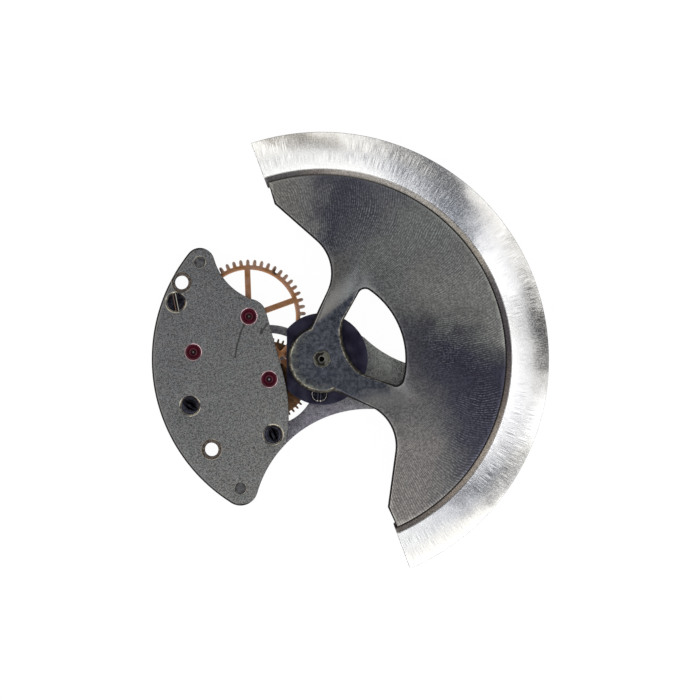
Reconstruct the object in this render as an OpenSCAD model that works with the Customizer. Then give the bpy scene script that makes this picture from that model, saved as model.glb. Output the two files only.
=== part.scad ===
// Automatic winding mechanism of a wrist watch: a rotor on a plain axle, two reversers, a reduction wheel.
// The origin is the rotor's axis on the seating plane. The rotor points along rotor_turn at rest.

/* [Rotor] */
// Outer diameter of the rotor
rotor_d = 26; // [25:0.5:28]
// Radial width of the bright rim
rim_w = 2.1; // [1.8:0.1:2.4]
// Width of the ledge between the rim's inner wall and the web's edge
rim_ledge_w = 0.34; // [0.2:0.02:0.4]
// How far the web laps over the rim's ledge
web_lap = 0.28; // [0.2:0.02:0.34]
// Distance of the rim's end faces in front of the axis
rim_end = 0.53; // [0.3:0.01:0.8]
// How far the web's ends are set in from the rim's end faces
web_set_in = 0.14; // [0.05:0.01:0.3]
// Thickness of the rotor web
web_t = 0.3; // [0.25:0.01:0.35]
// Rise of the two arms from the hub to the web
web_rise = 0.26; // [0.2:0.01:0.4]
// Height of the rim's top over the web
rim_proud = 0.04; // [0.02:0.01:0.12]
// Radius of the rotor hub
hub_r = 1.95; // [1.85:0.05:2.1]
// Radius at which the arms reach the web's level
ramp_r = 3.4; // [3:0.1:4]
// Direction of the rotor's middle at rest, from +X
rotor_turn = 20.5; // [0:0.5:40]
// Outer radius of the window in the web
window_r = 4.78; // [4.5:0.02:5]
// Rounding of the window's outer corners
window_round = 0.42; // [0.2:0.02:0.6]
// Half of the angle between the window's two sides
window_half = 40.35; // [38:0.05:42]
// Hollow between the web's arm and its end, as a fillet
web_bite_r = 2.48; // [2:0.02:2.8]

/* [Bridge and plate] */
// Thickness of the lower plate
plate_t = 0.45; // [0.4:0.01:0.6]
// Thickness of the bridge over the wheels
bridge_t = 0.45; // [0.4:0.01:0.6]
// Outer radius of the bridge and the plate, about the rotor's axis
bridge_r = 9.75; // [9.75:0.01:9.85]
// Radius of the round aperture about the drive reverser
aperture_r = 2.646; // [2.55:0.01:2.7]
// Width of the ring-shaped arm round the aperture
arm_w = 0.48; // [0.4:0.01:0.6]
// Radius of the round foot under the rotor
foot_r = 1.43; // [1.3:0.01:1.5]
// Radius of the fixing holes
fixing_r = 0.395; // [0.35:0.005:0.42]
// Radius of the counterbores over the fixing holes
fixing_sink_r = 0.56; // [0.5:0.01:0.58]
// Depth of the counterbores over the fixing holes
fixing_sink_depth = 0.12; // [0.05:0.01:0.2]
// Radius of the steady pins
pin_r = 0.32; // [0.25:0.01:0.35]

/* [Bearing plate] */
// Radius of the black bearing plate
bearing_r = 2.635; // [2.55:0.01:2.7]
// Distance of the bearing plate's flat from the axis
bearing_flat = 2.01; // [1.95:0.01:2.1]
// Thickness of the bearing plate
bearing_t = 0.3; // [0.25:0.01:0.34]
// Radius at which the bearing plate's pillars stand
pillar_at = 2.015; // [1.95:0.01:2.1]
// Radius of the pillars
pillar_r = 0.37; // [0.3:0.01:0.4]

/* [Wheels] */
// Module of the rotor pinion and the reverser wheels
reverser_module = 0.0924; // [0.092:0.0001:0.093]
// Teeth of the rotor pinion
rotor_teeth = 20; // [19:1:21]
// Teeth of each reverser wheel
reverser_teeth = 50; // [49:1:50]
// Module of the reverser pinions and the reduction wheel
reduction_module = 0.1262; // [0.125:0.0001:0.127]
// Leaves of each reverser pinion
pinion_leaves = 11; // [10:1:12]
// Teeth of the reduction wheel
reduction_teeth = 49; // [48:1:50]
// Leaves of the output pinion
output_leaves = 10; // [8:1:12]
// Module of the output pinion
output_module = 0.105; // [0.1:0.001:0.11]
// Thickness of the reverser wheels
reverser_t = 0.2; // [0.16:0.01:0.25]
// Thickness of the reduction wheel
reduction_t = 0.16; // [0.12:0.01:0.2]
// Thickness of the ratchets and pawls
click_t = 0.14; // [0.12:0.01:0.18]
// Spokes of the reduction wheel
spokes = 5; // [4:1:6]
// Width of a spoke
spoke_w = 0.3; // [0.24:0.01:0.4]
// Radius at which the pawl studs stand on a reverser wheel
stud_at = 1.5; // [1.4:0.01:1.6]
// Lift of the pawls that is enough to free the ratchet, in degrees
pawl_lift = 8; // [7:0.5:10]

/* [Jewels, screws and pivots] */
// Radius of the jewels
jewel_r = 0.45; // [0.4:0.01:0.5]
// Thickness of the jewels
jewel_t = 0.3; // [0.25:0.01:0.35]
// Radius of the wheel pivots
pivot_r = 0.1; // [0.08:0.01:0.12]
// Radius of the wheel arbors
arbor_r = 0.3; // [0.26:0.01:0.34]
// Radius of the rotor's journal in the bearing plate
journal_r = 0.42; // [0.36:0.01:0.46]
// Radius of the rotor's lower pivot
rotor_pivot_r = 0.15; // [0.12:0.01:0.18]
// Radius of a bridge screw's head
screw_head_r = 0.53; // [0.48:0.01:0.56]
// Radius of a bridge screw's shank
screw_shank_r = 0.24; // [0.2:0.01:0.28]
// Radius of a bearing plate screw's head
small_head_r = 0.44; // [0.4:0.01:0.47]
// Radius of a bearing plate screw's shank
small_shank_r = 0.19; // [0.16:0.01:0.22]
// Height of the screw heads
head_t = 0.25; // [0.2:0.01:0.28]
// Width of the screw slots
slot_w = 0.15; // [0.1:0.01:0.18]

/* [Hidden] */
$fn = 96;

// A cut reaches this far past a face, and a tapered cut this far
past = 0.5;
hair = 0.0001;
// Radial clearance of a pivot or a journal
run = 0.02;
// End shake between a shoulder and what it runs against
shake = 0.03;
// Gap between neighbouring levels of wheels
level_gap = 0.1;
// Gap between a wheel's tips and the wall of its recess
recess_gap = 0.13;
// Gap under the ratchets and pawls, and gap between a pawl and its stud's head
click_gap = 0.04;
stud_gap = 0.005;
// Gap between the bridge's top and the rotor's hub
hub_gap = 0.06;
// Radial gap of a screw's shank in the plate, and in the piece that the screw holds down
thread_gap = 0.01;
shank_gap = 0.03;
// Height of a bridge screw's head over the bridge, and of a small screw's head over the bearing plate
screw_proud = 0.05;
small_proud = 0.04;
// Height of the screws' tips over the seating plane
screw_foot = 0.05;
// How far the upper jewels are set in from the bridge's top
jewel_set = 0.02;
// Height of the wheels' lower pivot ends, and depth of the upper ones under the bridge's top
pivot_foot = 0.16;
pivot_in = 0.05;
// Height of the rotor's lower pivot end, and of its rivet over the hub
rotor_foot = 0.06;
rivet_t = 0.07;
// Height of the rotor bush over the bearing plate
bush_proud = 0.04;
// Radius of the flanges of the wheel arbors
flange_r = 0.5;

// Heights of the levels, from the seating plane up
reverser_z = plate_t + level_gap;
click_z = reverser_z + reverser_t + click_gap;
reduction_z = click_z + click_t + level_gap;
ceiling_z = reduction_z + reduction_t + level_gap;
bridge_top = ceiling_z + bridge_t;
bearing_top = ceiling_z + bearing_t;
hub_z = bridge_top + hub_gap;
web_z = hub_z + web_rise;
rim_z = 0.05;
rim_top = web_z + web_t + rim_proud;

// Radii of the rotor
rotor_r = rotor_d / 2;
rim_inner_r = rotor_r - rim_w;
web_r = rim_inner_r - rim_ledge_w;
ledge_r = web_r - web_lap;

function polar(r, a) = [r * cos(a), r * sin(a)];
function arc(c, r, a0, a1, n = 24) = [for (i = [0:n]) c + polar(r, a0 + (a1 - a0) * i / n)];
function heading(p, q) = atan2(q[1] - p[1], q[0] - p[0]);
function span(p, q) = norm(q - p);

// Pitch and tip radii. The wheels have short addenda, the reduction wheel's teeth are long and pointed.
function pitch_r(teeth, module_size) = teeth * module_size / 2;
reverser_pitch = pitch_r(reverser_teeth, reverser_module);
reverser_tip = reverser_pitch + 0.6 * reverser_module;
rotor_pitch = pitch_r(rotor_teeth, reverser_module);
reduction_pitch = pitch_r(reduction_teeth, reduction_module);
reduction_tip = reduction_pitch + 1.4 * reduction_module;
leaf_pitch = pitch_r(pinion_leaves, reduction_module);
output_pitch = pitch_r(output_leaves, output_module);

// Centres: the rotor at the origin, the drive reverser beside it, the idler beyond, the reduction wheel above
rotor_at = [0, 0];
drive_turn = 201.1;
train_turn = 160.3;
drive_at = polar(rotor_pitch + reverser_pitch, drive_turn);
idler_at = drive_at + polar(2 * reverser_pitch, train_turn);
reduction_reach = leaf_pitch + reduction_pitch;
reduction_rise = sqrt(pow(reduction_reach, 2) - pow(reverser_pitch, 2));
reduction_at = (drive_at + idler_at) / 2 + polar(reduction_rise, train_turn - 90);
centres = [reduction_at, drive_at, idler_at];

// A tooth phase that meshes wheel j with wheel i, whose tooth points at phase_i
function mesh_phase(at_i, teeth_i, phase_i, at_j, teeth_j) =
    let (a = heading(at_i, at_j)) a + 180 - (180 - (a - phase_i) * teeth_i) / teeth_j;
reduction_phase = 91.3;
drive_phase = 77;
rotor_phase = mesh_phase(drive_at, reverser_teeth, drive_phase, rotor_at, rotor_teeth);
idler_phase = mesh_phase(drive_at, reverser_teeth, drive_phase, idler_at, reverser_teeth);
drive_leaf_phase = mesh_phase(reduction_at, reduction_teeth, reduction_phase, drive_at, pinion_leaves);
idler_leaf_phase = mesh_phase(reduction_at, reduction_teeth, reduction_phase, idler_at, pinion_leaves);

// Ratchet and pawl: the nose stands just behind a tooth's radial face
ratchet_teeth = 8;
ratchet_tip = 0.62;
ratchet_root = 0.44;
nose_r = 0.03;
nose_at = 0.54;
nose_lead = 50;
face_lead = nose_lead + asin((nose_r + run) / nose_at);
pawl_arm_r = 0.26;
pawl_eye_r = 0.36;
stud_r = 0.12;
stud_head_r = 0.2;
stud_head_t = 0.04;
drive_stud_turn = 61;
idler_stud_turn = 130;

// Fixings of the bridge
bridge_screw_at = [[-8.368, 3.247], [-7.554, -2.680], [-2.801, -4.341]];
bridge_slot_turn = [-79, -34, -66];
fixing_at = [[-8.041, 4.393], [-6.323, -5.189]];
foot_at = [4.9, -1.75];
steady_at = [[-6.993, 5.550], [-4.662, -7.417]];
tip_r = [for (p = steady_at) bridge_r - norm(p)];
jewel_land_r = 1.01;
pillar_turn = -93.9;
pillars = [polar(pillar_at, pillar_turn), polar(pillar_at, pillar_turn + 180)];

// The point at distance a from p and b from q, on the left of the way from p to q, or right for side = -1
function meet(p, a, q, b, side = 1) =
    let (d = span(p, q), e = (q - p) / d, x = (a * a - b * b + d * d) / (2 * d), y = sqrt(a * a - x * x))
    p + x * e + side * y * [-e[1], e[0]];

// Hollows of the outlines, as circles that run into the rounds beside them
top_hollow_r = 3.41;
top_hollow = meet(steady_at[0], tip_r[0] + top_hollow_r, reduction_at, jewel_land_r + top_hollow_r);
low_hollow_r = 6.67;
low_hollow = meet(steady_at[1], tip_r[1] + low_hollow_r, foot_at, foot_r + low_hollow_r, -1);
side_c = [-10.8, -3.2];
side_r = 8.9;
foot_hollow_r = 6.5;
foot_hollow_turn = 75;
foot_hollow = foot_at + polar(foot_r + foot_hollow_r, foot_hollow_turn);

module ring(outer, inner, z, h) {
    translate([0, 0, z]) difference() {
        cylinder(r = outer, h = h);
        translate([0, 0, -past]) cylinder(r = inner, h = h + 2 * past);
    }
}

module drill(places, r, z, h) {
    for (p = places) translate([p[0], p[1], z]) cylinder(r = r, h = h);
}

// One tooth, from its root over its rounded point and down again
function tooth(root, pitch, tip, half, a) = [
    polar(root, a - half * 1.2),
    polar(pitch, a - half),
    polar(pitch + 0.6 * (tip - pitch), a - half * 0.66),
    polar(tip, a - half * 0.2),
    polar(tip, a + half * 0.2),
    polar(pitch + 0.6 * (tip - pitch), a + half * 0.66),
    polar(pitch, a + half),
    polar(root, a + half * 1.2)
];

module toothed(teeth, root, pitch, tip, fill, phase, h) {
    linear_extrude(h) polygon([
        for (i = [0:teeth - 1]) each tooth(root, pitch, tip, 180 / teeth * fill, phase + 360 * i / teeth)
    ]);
}

// The bridge's outline, clockwise from the top tip
bridge_outline = let (
    jewel_side = 16,
    side_end = -10.7,
    side_foot = side_c + polar(side_r, side_end)
) concat(
    arc(steady_at[0], tip_r[0], heading(rotor_at, steady_at[0]), heading(steady_at[0], top_hollow), 12),
    arc(top_hollow, top_hollow_r, heading(top_hollow, steady_at[0]), heading(top_hollow, reduction_at)),
    arc(reduction_at, jewel_land_r, heading(reduction_at, top_hollow), jewel_side, 12),
    arc(side_c, side_r, jewel_side, side_end),
    arc(low_hollow, low_hollow_r, heading(low_hollow, side_foot), heading(low_hollow, steady_at[1])),
    arc(steady_at[1], tip_r[1], heading(steady_at[1], low_hollow), heading(rotor_at, steady_at[1]), 12),
    arc(rotor_at, bridge_r, heading(rotor_at, steady_at[1]) + 360, heading(rotor_at, steady_at[0]), 60)
);

// The foot's outline, from under the bridge along the low hollow, round the foot and back over it
foot_outline = let (
    low_start = 140,
    hollow_end = 226,
    root_in = 0.2,
    root_turn = 42
) concat(
    arc(low_hollow, low_hollow_r, low_start, heading(low_hollow, foot_at)),
    arc(foot_at, foot_r, heading(foot_at, low_hollow), heading(foot_at, foot_hollow)),
    arc(foot_hollow, foot_hollow_r, heading(foot_hollow, foot_at) + 360, hollow_end),
    [polar(bearing_r - root_in, root_turn), drive_at]
);

// The pad under the bearing plate stays inside the bearing plate's rim and inside its flat
module lower_plate() {
    tongue_r = 0.75;
    edge_in = 0.15;
    flat_in = 0.1;
    color("dimgray") difference() {
        union() {
            difference() {
                union() {
                    linear_extrude(plate_t) polygon(bridge_outline);
                    linear_extrude(plate_t) polygon(foot_outline);
                    translate(drive_at) cylinder(r = aperture_r + arm_w, h = plate_t);
                    intersection() {
                        cylinder(r = bearing_r - edge_in, h = plate_t);
                        translate([flat_in - bearing_flat, -bearing_r, 0])
                            cube([2 * bearing_r, 2 * bearing_r, plate_t]);
                    }
                }
                translate([drive_at[0], drive_at[1], -past]) cylinder(r = aperture_r, h = plate_t + 2 * past);
            }
            translate(drive_at) cylinder(r = tongue_r, h = plate_t);
            translate(drive_at) rotate(train_turn) translate([0, -tongue_r, 0])
                cube([aperture_r + arm_w / 2, 2 * tongue_r, plate_t]);
        }
        drill(centres, jewel_r, -past, plate_t + 2 * past);
        drill([rotor_at], journal_r, -past, plate_t + 2 * past);
        drill(concat(fixing_at, [foot_at]), fixing_r, -past, plate_t + 2 * past);
        drill(steady_at, pin_r, -past, plate_t + 2 * past);
        drill(bridge_screw_at, screw_shank_r + thread_gap, -past, plate_t + 2 * past);
        drill(pillars, small_shank_r + thread_gap, -past, plate_t + 2 * past);
    }
}

module upper_bridge() {
    sink_depth = 0.06;
    sink_reach = 0.08;
    color("lightslategray") difference() {
        translate([0, 0, plate_t]) linear_extrude(bridge_top - plate_t) polygon(bridge_outline);
        drill([drive_at, idler_at], reverser_tip + recess_gap, 0, ceiling_z);
        drill([reduction_at], reduction_tip + recess_gap, 0, ceiling_z);
        drill(centres, jewel_r, 0, bridge_top + past);
        drill(fixing_at, fixing_r, 0, bridge_top + past);
        drill(fixing_at, fixing_sink_r, bridge_top - fixing_sink_depth, past);
        drill(steady_at, pin_r, 0, bridge_top + past);
        drill(bridge_screw_at, screw_shank_r + shank_gap, 0, bridge_top + past);
        drill(bridge_screw_at, screw_head_r + run, bridge_top - head_t + screw_proud, past);
        for (p = bridge_screw_at) translate([p[0], p[1], bridge_top - sink_depth])
            cylinder(r1 = screw_head_r + run, r2 = screw_head_r + sink_reach, h = sink_depth + hair);
    }
}

// A slotted screw, whose head's top stands at z
module screw(p, head_r, shank_r, z, slot_turn) {
    edge = 0.04;
    translate([p[0], p[1], 0]) difference() {
        union() {
            translate([0, 0, z - head_t]) cylinder(r = head_r, h = head_t - edge);
            translate([0, 0, z - edge]) cylinder(r1 = head_r, r2 = head_r - edge, h = edge);
            translate([0, 0, screw_foot]) cylinder(r = shank_r, h = z - head_t - screw_foot);
        }
        translate([0, 0, z]) rotate(slot_turn)
            cube([2 * head_r + past, slot_w, head_t], center = true);
    }
}

module bridge_screws() {
    color("midnightblue") for (i = [0:2])
        screw(bridge_screw_at[i], screw_head_r, screw_shank_r, bridge_top + screw_proud, bridge_slot_turn[i]);
}

module steady_pins() {
    color("gray") drill(steady_at, pin_r, 0, bridge_top);
}

// A hole jewel with its oil sink, whose outer face lies at z and looks along up
module jewel(p, z, up) {
    sink_r = 0.24;
    sink_depth = 0.12;
    color("crimson") translate([p[0], p[1], z]) mirror([0, 0, up > 0 ? 0 : 1]) translate([0, 0, -jewel_t])
        difference() {
            cylinder(r = jewel_r, h = jewel_t);
            translate([0, 0, -past]) cylinder(r = pivot_r + run, h = jewel_t + 2 * past);
            translate([0, 0, jewel_t - sink_depth])
                cylinder(r1 = pivot_r + run, r2 = sink_r, h = sink_depth + hair);
        }
}

module bearing_plate() {
    color("#25242e") difference() {
        intersection() {
            translate([0, 0, ceiling_z]) cylinder(r = bearing_r, h = bearing_t);
            translate([-bearing_flat, -bearing_r, ceiling_z]) cube([2 * bearing_r, 2 * bearing_r, bearing_t]);
        }
        drill([rotor_at], 2 * journal_r, ceiling_z - past, bearing_t + 2 * past);
        drill(pillars, small_shank_r + shank_gap, ceiling_z - past, bearing_t + 2 * past);
        drill(pillars, small_head_r + run, bearing_top - head_t + small_proud, past);
    }
}

module bearing_pillars() {
    color("silver") for (p = pillars) translate([p[0], p[1], 0])
        ring(pillar_r, small_shank_r + thread_gap, plate_t, ceiling_z - plate_t);
}

module bearing_screws() {
    color("midnightblue") for (p = pillars)
        screw(p, small_head_r, small_shank_r, bearing_top + small_proud, pillar_turn);
}

module rotor_upper_bush() {
    color("goldenrod") ring(2 * journal_r, journal_r + run, ceiling_z, bearing_t + bush_proud);
}

module rotor_lower_bush() {
    color("goldenrod") ring(journal_r, rotor_pivot_r + run, 0, plate_t);
}

// The rotor's axle, from its lower pivot to its riveted end over the hub
module rotor_axle() {
    pinion_top = reduction_z - level_gap / 2;
    collar_z = bearing_top + bush_proud + shake;
    rivet_top = hub_z + web_t + rivet_t;
    rivet_reach = 0.1;
    collar_in = 0.04;
    centre_r = 0.16;
    centre_depth = 0.2;
    color("silver") difference() {
        union() {
            translate([0, 0, rotor_foot]) cylinder(r = rotor_pivot_r, h = plate_t);
            translate([0, 0, plate_t + shake]) cylinder(r = journal_r - run, h = ceiling_z - plate_t);
            translate([0, 0, pinion_top]) cylinder(r = 1.5 * journal_r, h = ceiling_z - shake - pinion_top);
            translate([0, 0, ceiling_z - shake]) cylinder(r = journal_r, h = rivet_top - ceiling_z);
            translate([0, 0, collar_z]) cylinder(r = 2 * journal_r - collar_in, h = hub_z - collar_z);
            translate([0, 0, hub_z + web_t]) cylinder(r = journal_r + rivet_reach, h = rivet_t);
        }
        translate([0, 0, rivet_top - centre_depth]) cylinder(r = centre_r, h = past);
    }
}

module rotor_pinion() {
    root = rotor_pitch - 0.8 * reverser_module;
    tip = rotor_pitch + 0.65 * reverser_module;
    step_up = 0.02;
    z = plate_t + shake + step_up;
    color("silver") difference() {
        translate([0, 0, z])
            toothed(rotor_teeth, root, rotor_pitch, tip, 0.42, rotor_phase, reduction_z - level_gap / 2 - z);
        cylinder(r = journal_r - run, h = bridge_top);
    }
}

// Half outline of the web's end, hollow and arm, from the rim to the hub, for side = 1 or -1
function web_side(side) = let (
    corner = [0.573, 9.25],
    notch = polar(2.024, 87.6),
    knee = [2.961, 4.798],
    reach_in = web_bite_r * tan(37.1),
    from_a = heading(knee, corner),
    to_a = heading(knee, notch),
    c = knee + polar(web_bite_r / cos(37.1), (from_a + to_a + 360) / 2),
    bite_start = heading(c, knee + polar(reach_in, from_a)),
    bite_end = heading(c, knee + polar(reach_in, to_a)),
    start = [rim_end + web_set_in, sqrt(pow(web_r, 2) - pow(rim_end + web_set_in, 2))],
    points = concat(
        [start, corner],
        arc(c, web_bite_r, bite_start, bite_end, 20),
        [notch]
    )
) [for (p = points) [p[0], side * p[1]]];

module web_outline() {
    half_turn = acos((rim_end + web_set_in) / web_r);
    lower = web_side(-1);
    difference() {
        union() {
            polygon(concat(
                arc([0, 0], web_r, -half_turn, half_turn, 90),
                web_side(1),
                [for (i = [len(lower) - 1:-1:0]) lower[i]]
            ));
            circle(r = hub_r);
        }
        web_window();
    }
}

// The window: a hollow inner edge, two radial sides, rounded corners and an outer arc about the axis
module web_window() {
    inner_c = [4.72, 0];
    inner_r = 3.26;
    inner_half = 29.4;
    corner_reach = window_r - window_round;
    corner_turn = window_half - asin(window_round / corner_reach);
    corner = arc(polar(corner_reach, corner_turn), window_round, window_half + 90, corner_turn, 10);
    polygon(concat(
        arc(inner_c, inner_r, 180 - inner_half, 180 + inner_half, 20),
        [for (p = corner) [p[0], -p[1]]],
        arc([0, 0], window_r, 1 - corner_turn, corner_turn - 1, 30),
        [for (i = [len(corner) - 1:-1:0]) corner[i]]
    ));
}

module rotor_web() {
    color("#4a4a48") rotate(rotor_turn) difference() {
        intersection() {
            translate([0, 0, hub_z]) linear_extrude(web_rise + web_t) web_outline();
            rotate_extrude($fn = 180) polygon([
                [0, hub_z], [hub_r, hub_z], [ramp_r, web_z], [web_r + past, web_z],
                [web_r + past, web_z + web_t], [ramp_r, web_z + web_t], [hub_r, hub_z + web_t],
                [0, hub_z + web_t]
            ]);
        }
        drill([rotor_at], journal_r, hub_z - past, web_t + 2 * past);
    }
}

module rotor_rim() {
    edge = 0.08;
    color("gainsboro") rotate(rotor_turn) intersection() {
        rotate_extrude($fn = 180) polygon([
            [ledge_r, rim_z], [rotor_r - edge, rim_z], [rotor_r, rim_z + edge], [rotor_r, rim_top - edge],
            [rotor_r - edge, rim_top], [rim_inner_r + edge / 2, rim_top], [rim_inner_r, rim_top - edge / 2],
            [rim_inner_r, web_z], [ledge_r, web_z]
        ]);
        translate([rim_end, -rotor_r, 0]) cube([rotor_r, 2 * rotor_r, rim_top + past]);
    }
}

module reduction_wheel() {
    root = reduction_pitch - 1.17 * reduction_module;
    rim_in = root - 0.26;
    hub = 0.75;
    spoke_in = 0.05;
    spoke_turn = 91;
    color("#b07850") translate([reduction_at[0], reduction_at[1], reduction_z]) difference() {
        union() {
            difference() {
                toothed(reduction_teeth, root, reduction_pitch, reduction_tip, 0.4, reduction_phase,
                    reduction_t);
                translate([0, 0, -past]) cylinder(r = rim_in, h = reduction_t + 2 * past);
            }
            cylinder(r = hub, h = reduction_t);
            for (i = [0:spokes - 1]) rotate(spoke_turn + 360 * i / spokes) translate([0, -spoke_w / 2, 0])
                cube([rim_in + spoke_in, spoke_w, reduction_t]);
        }
        translate([0, 0, -past]) cylinder(r = arbor_r, h = reduction_t + 2 * past);
    }
}

// An arbor between two jewels: a body with a pivot at each end
module arbor() {
    body_top = bridge_top - jewel_set - jewel_t - shake;
    translate([0, 0, plate_t]) cylinder(r = arbor_r, h = body_top - plate_t);
    translate([0, 0, pivot_foot]) cylinder(r = pivot_r, h = bridge_top - pivot_in - pivot_foot);
}

module reduction_arbor() {
    output_gap = 0.07;
    flange_t = 0.12;
    output_z = plate_t + output_gap;
    output_top = reduction_z - flange_t;
    color("silver") translate([reduction_at[0], reduction_at[1], 0]) {
        arbor();
        translate([0, 0, output_z]) toothed(output_leaves, output_pitch - 1.1 * output_module, output_pitch,
            output_pitch + 0.8 * output_module, 0.36, 0, output_top - output_z);
        translate([0, 0, output_top]) cylinder(r = flange_r, h = reduction_z - output_top);
    }
}

module reverser_wheel(p, phase, stud_turn) {
    root = reverser_pitch - 0.85 * reverser_module;
    color("#8a6a3c") translate([p[0], p[1], reverser_z]) difference() {
        toothed(reverser_teeth, root, reverser_pitch, reverser_tip, 0.42, phase, reverser_t);
        translate([0, 0, -past]) cylinder(r = arbor_r + run, h = reverser_t + 2 * past);
        drill([for (turn = [stud_turn, stud_turn + 180]) polar(stud_at, turn)], stud_r, -past,
            reverser_t + 2 * past);
    }
}

module pawl_studs(p, stud_turn) {
    head_z = click_z + click_t + stud_gap;
    color("silver") for (turn = [stud_turn, stud_turn + 180])
        translate([p[0], p[1], 0]) rotate(turn) translate([stud_at, 0, 0]) {
            translate([0, 0, reverser_z]) cylinder(r = stud_r, h = head_z - reverser_z);
            translate([0, 0, head_z]) cylinder(r = stud_head_r, h = stud_head_t);
        }
}

module reverser_pinion(p, phase) {
    leaf_reach = 0.04;
    leaf_z = reduction_z - leaf_reach;
    collar_top = reverser_z - shake;
    color("silver") translate([p[0], p[1], 0]) {
        arbor();
        translate([0, 0, plate_t]) cylinder(r = flange_r, h = collar_top - plate_t);
        translate([0, 0, leaf_z]) toothed(pinion_leaves, leaf_pitch - 1.55 * reduction_module, leaf_pitch,
            leaf_pitch + 0.7 * reduction_module, 0.34, phase, reduction_t + 2 * leaf_reach);
    }
}

// The ratchet's radial faces look clockwise, so a pawl drives it anticlockwise
module ratchet(p, stud_turn) {
    step = 360 / ratchet_teeth;
    color("silver") translate([p[0], p[1], click_z]) rotate(stud_turn + face_lead) difference() {
        linear_extrude(click_t) polygon([
            for (i = [0:ratchet_teeth - 1]) each [polar(ratchet_root, i * step), polar(ratchet_tip, i * step)]
        ]);
        translate([0, 0, -past]) cylinder(r = arbor_r, h = click_t + 2 * past);
    }
}

// A pawl on its stud: an arm that ends in the nose, a round eye, and a tail that balances the arm
module pawl(p, stud_turn, lift) {
    tail_out = 0.1;
    tail_turn = -35;
    nose = polar(nose_at, nose_lead) - [stud_at, 0];
    tail = polar(stud_at + tail_out, tail_turn) - [stud_at, 0];
    tail_r = 0.22;
    neck_r = 0.3;
    color("lightsteelblue") translate([p[0], p[1], click_z]) rotate(stud_turn)
        translate([stud_at, 0, 0]) rotate(-lift) difference() {
            union() {
                hull() {
                    cylinder(r = pawl_arm_r, h = click_t, $fn = 32);
                    translate(nose) cylinder(r = nose_r, h = click_t, $fn = 32);
                }
                hull() {
                    cylinder(r = neck_r, h = click_t, $fn = 32);
                    translate(tail) cylinder(r = tail_r, h = click_t, $fn = 32);
                }
                cylinder(r = pawl_eye_r, h = click_t);
            }
            translate([0, 0, -past]) cylinder(r = stud_r + run, h = click_t + 2 * past);
        }
}

module upper_jewel(p) { jewel(p, bridge_top - jewel_set, 1); }
module lower_jewel(p) { jewel(p, plate_t - shake - jewel_t, -1); }

lower_plate();
upper_bridge();
bridge_screws();
steady_pins();
upper_jewel(reduction_at);  // reduction_upper_jewel
upper_jewel(drive_at);  // drive_upper_jewel
upper_jewel(idler_at);  // idler_upper_jewel
lower_jewel(reduction_at);  // reduction_lower_jewel
lower_jewel(drive_at);  // drive_lower_jewel
lower_jewel(idler_at);  // idler_lower_jewel
bearing_plate();
bearing_pillars();
bearing_screws();
rotor_upper_bush();
rotor_lower_bush();
rotor_axle();
rotor_pinion();
rotor_web();
rotor_rim();
reduction_wheel();
reduction_arbor();
reverser_wheel(drive_at, drive_phase, drive_stud_turn);  // drive_wheel
pawl_studs(drive_at, drive_stud_turn);  // drive_pawl_studs
reverser_pinion(drive_at, drive_leaf_phase);  // drive_pinion
ratchet(drive_at, drive_stud_turn);  // drive_ratchet
pawl(drive_at, drive_stud_turn, pawl_lift);  // drive_pawl_a
pawl(drive_at, drive_stud_turn + 180, pawl_lift);  // drive_pawl_b
reverser_wheel(idler_at, idler_phase, idler_stud_turn);  // idler_wheel
pawl_studs(idler_at, idler_stud_turn);  // idler_pawl_studs
reverser_pinion(idler_at, idler_leaf_phase);  // idler_pinion
ratchet(idler_at, idler_stud_turn);  // idler_ratchet
pawl(idler_at, idler_stud_turn, 0);  // idler_pawl_a
pawl(idler_at, idler_stud_turn + 180, 0);  // idler_pawl_b
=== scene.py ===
# Automatic winding mechanism of a wrist watch, seen from above on a white table.
# Lengths here are millimetres and angles degrees; the meshes are made in metres.
import functools
import math

import bmesh
import bpy
import numpy as np
from mathutils.geometry import delaunay_2d_cdt
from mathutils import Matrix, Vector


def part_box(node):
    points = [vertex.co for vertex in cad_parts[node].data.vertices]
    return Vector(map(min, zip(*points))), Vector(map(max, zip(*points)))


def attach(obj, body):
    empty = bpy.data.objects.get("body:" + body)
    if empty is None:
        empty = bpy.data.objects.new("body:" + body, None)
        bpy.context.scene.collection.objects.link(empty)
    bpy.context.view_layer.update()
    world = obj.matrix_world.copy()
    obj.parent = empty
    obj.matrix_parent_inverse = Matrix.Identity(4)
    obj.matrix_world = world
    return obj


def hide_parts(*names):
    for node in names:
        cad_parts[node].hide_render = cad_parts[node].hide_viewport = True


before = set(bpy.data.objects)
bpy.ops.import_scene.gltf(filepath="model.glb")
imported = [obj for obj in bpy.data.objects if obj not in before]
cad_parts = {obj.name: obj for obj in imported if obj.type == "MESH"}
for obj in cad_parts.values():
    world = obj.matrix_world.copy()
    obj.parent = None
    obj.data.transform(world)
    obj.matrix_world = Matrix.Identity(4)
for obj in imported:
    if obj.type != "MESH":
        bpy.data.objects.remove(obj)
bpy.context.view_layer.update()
mm = 0.001


# Places in the plane

def polar(radius, turn):
    # the point at a distance and a direction from the origin
    turn = np.radians(turn)
    return np.stack((radius * np.cos(turn), radius * np.sin(turn)), -1)


def arc(centre, radius, start, end, count=24):
    # points at equal angles along a round stretch
    return np.array(centre) + polar(radius, np.linspace(start, end, count))


def circle(centre, radius, count=96):
    # a whole turn of points, whose first isn't repeated at the end
    return arc(centre, radius, 0, 360 * (1 - 1 / count), count)


def heading(p, q):
    # direction from p to q
    return math.degrees(math.atan2(q[1] - p[1], q[0] - p[0]))


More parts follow.
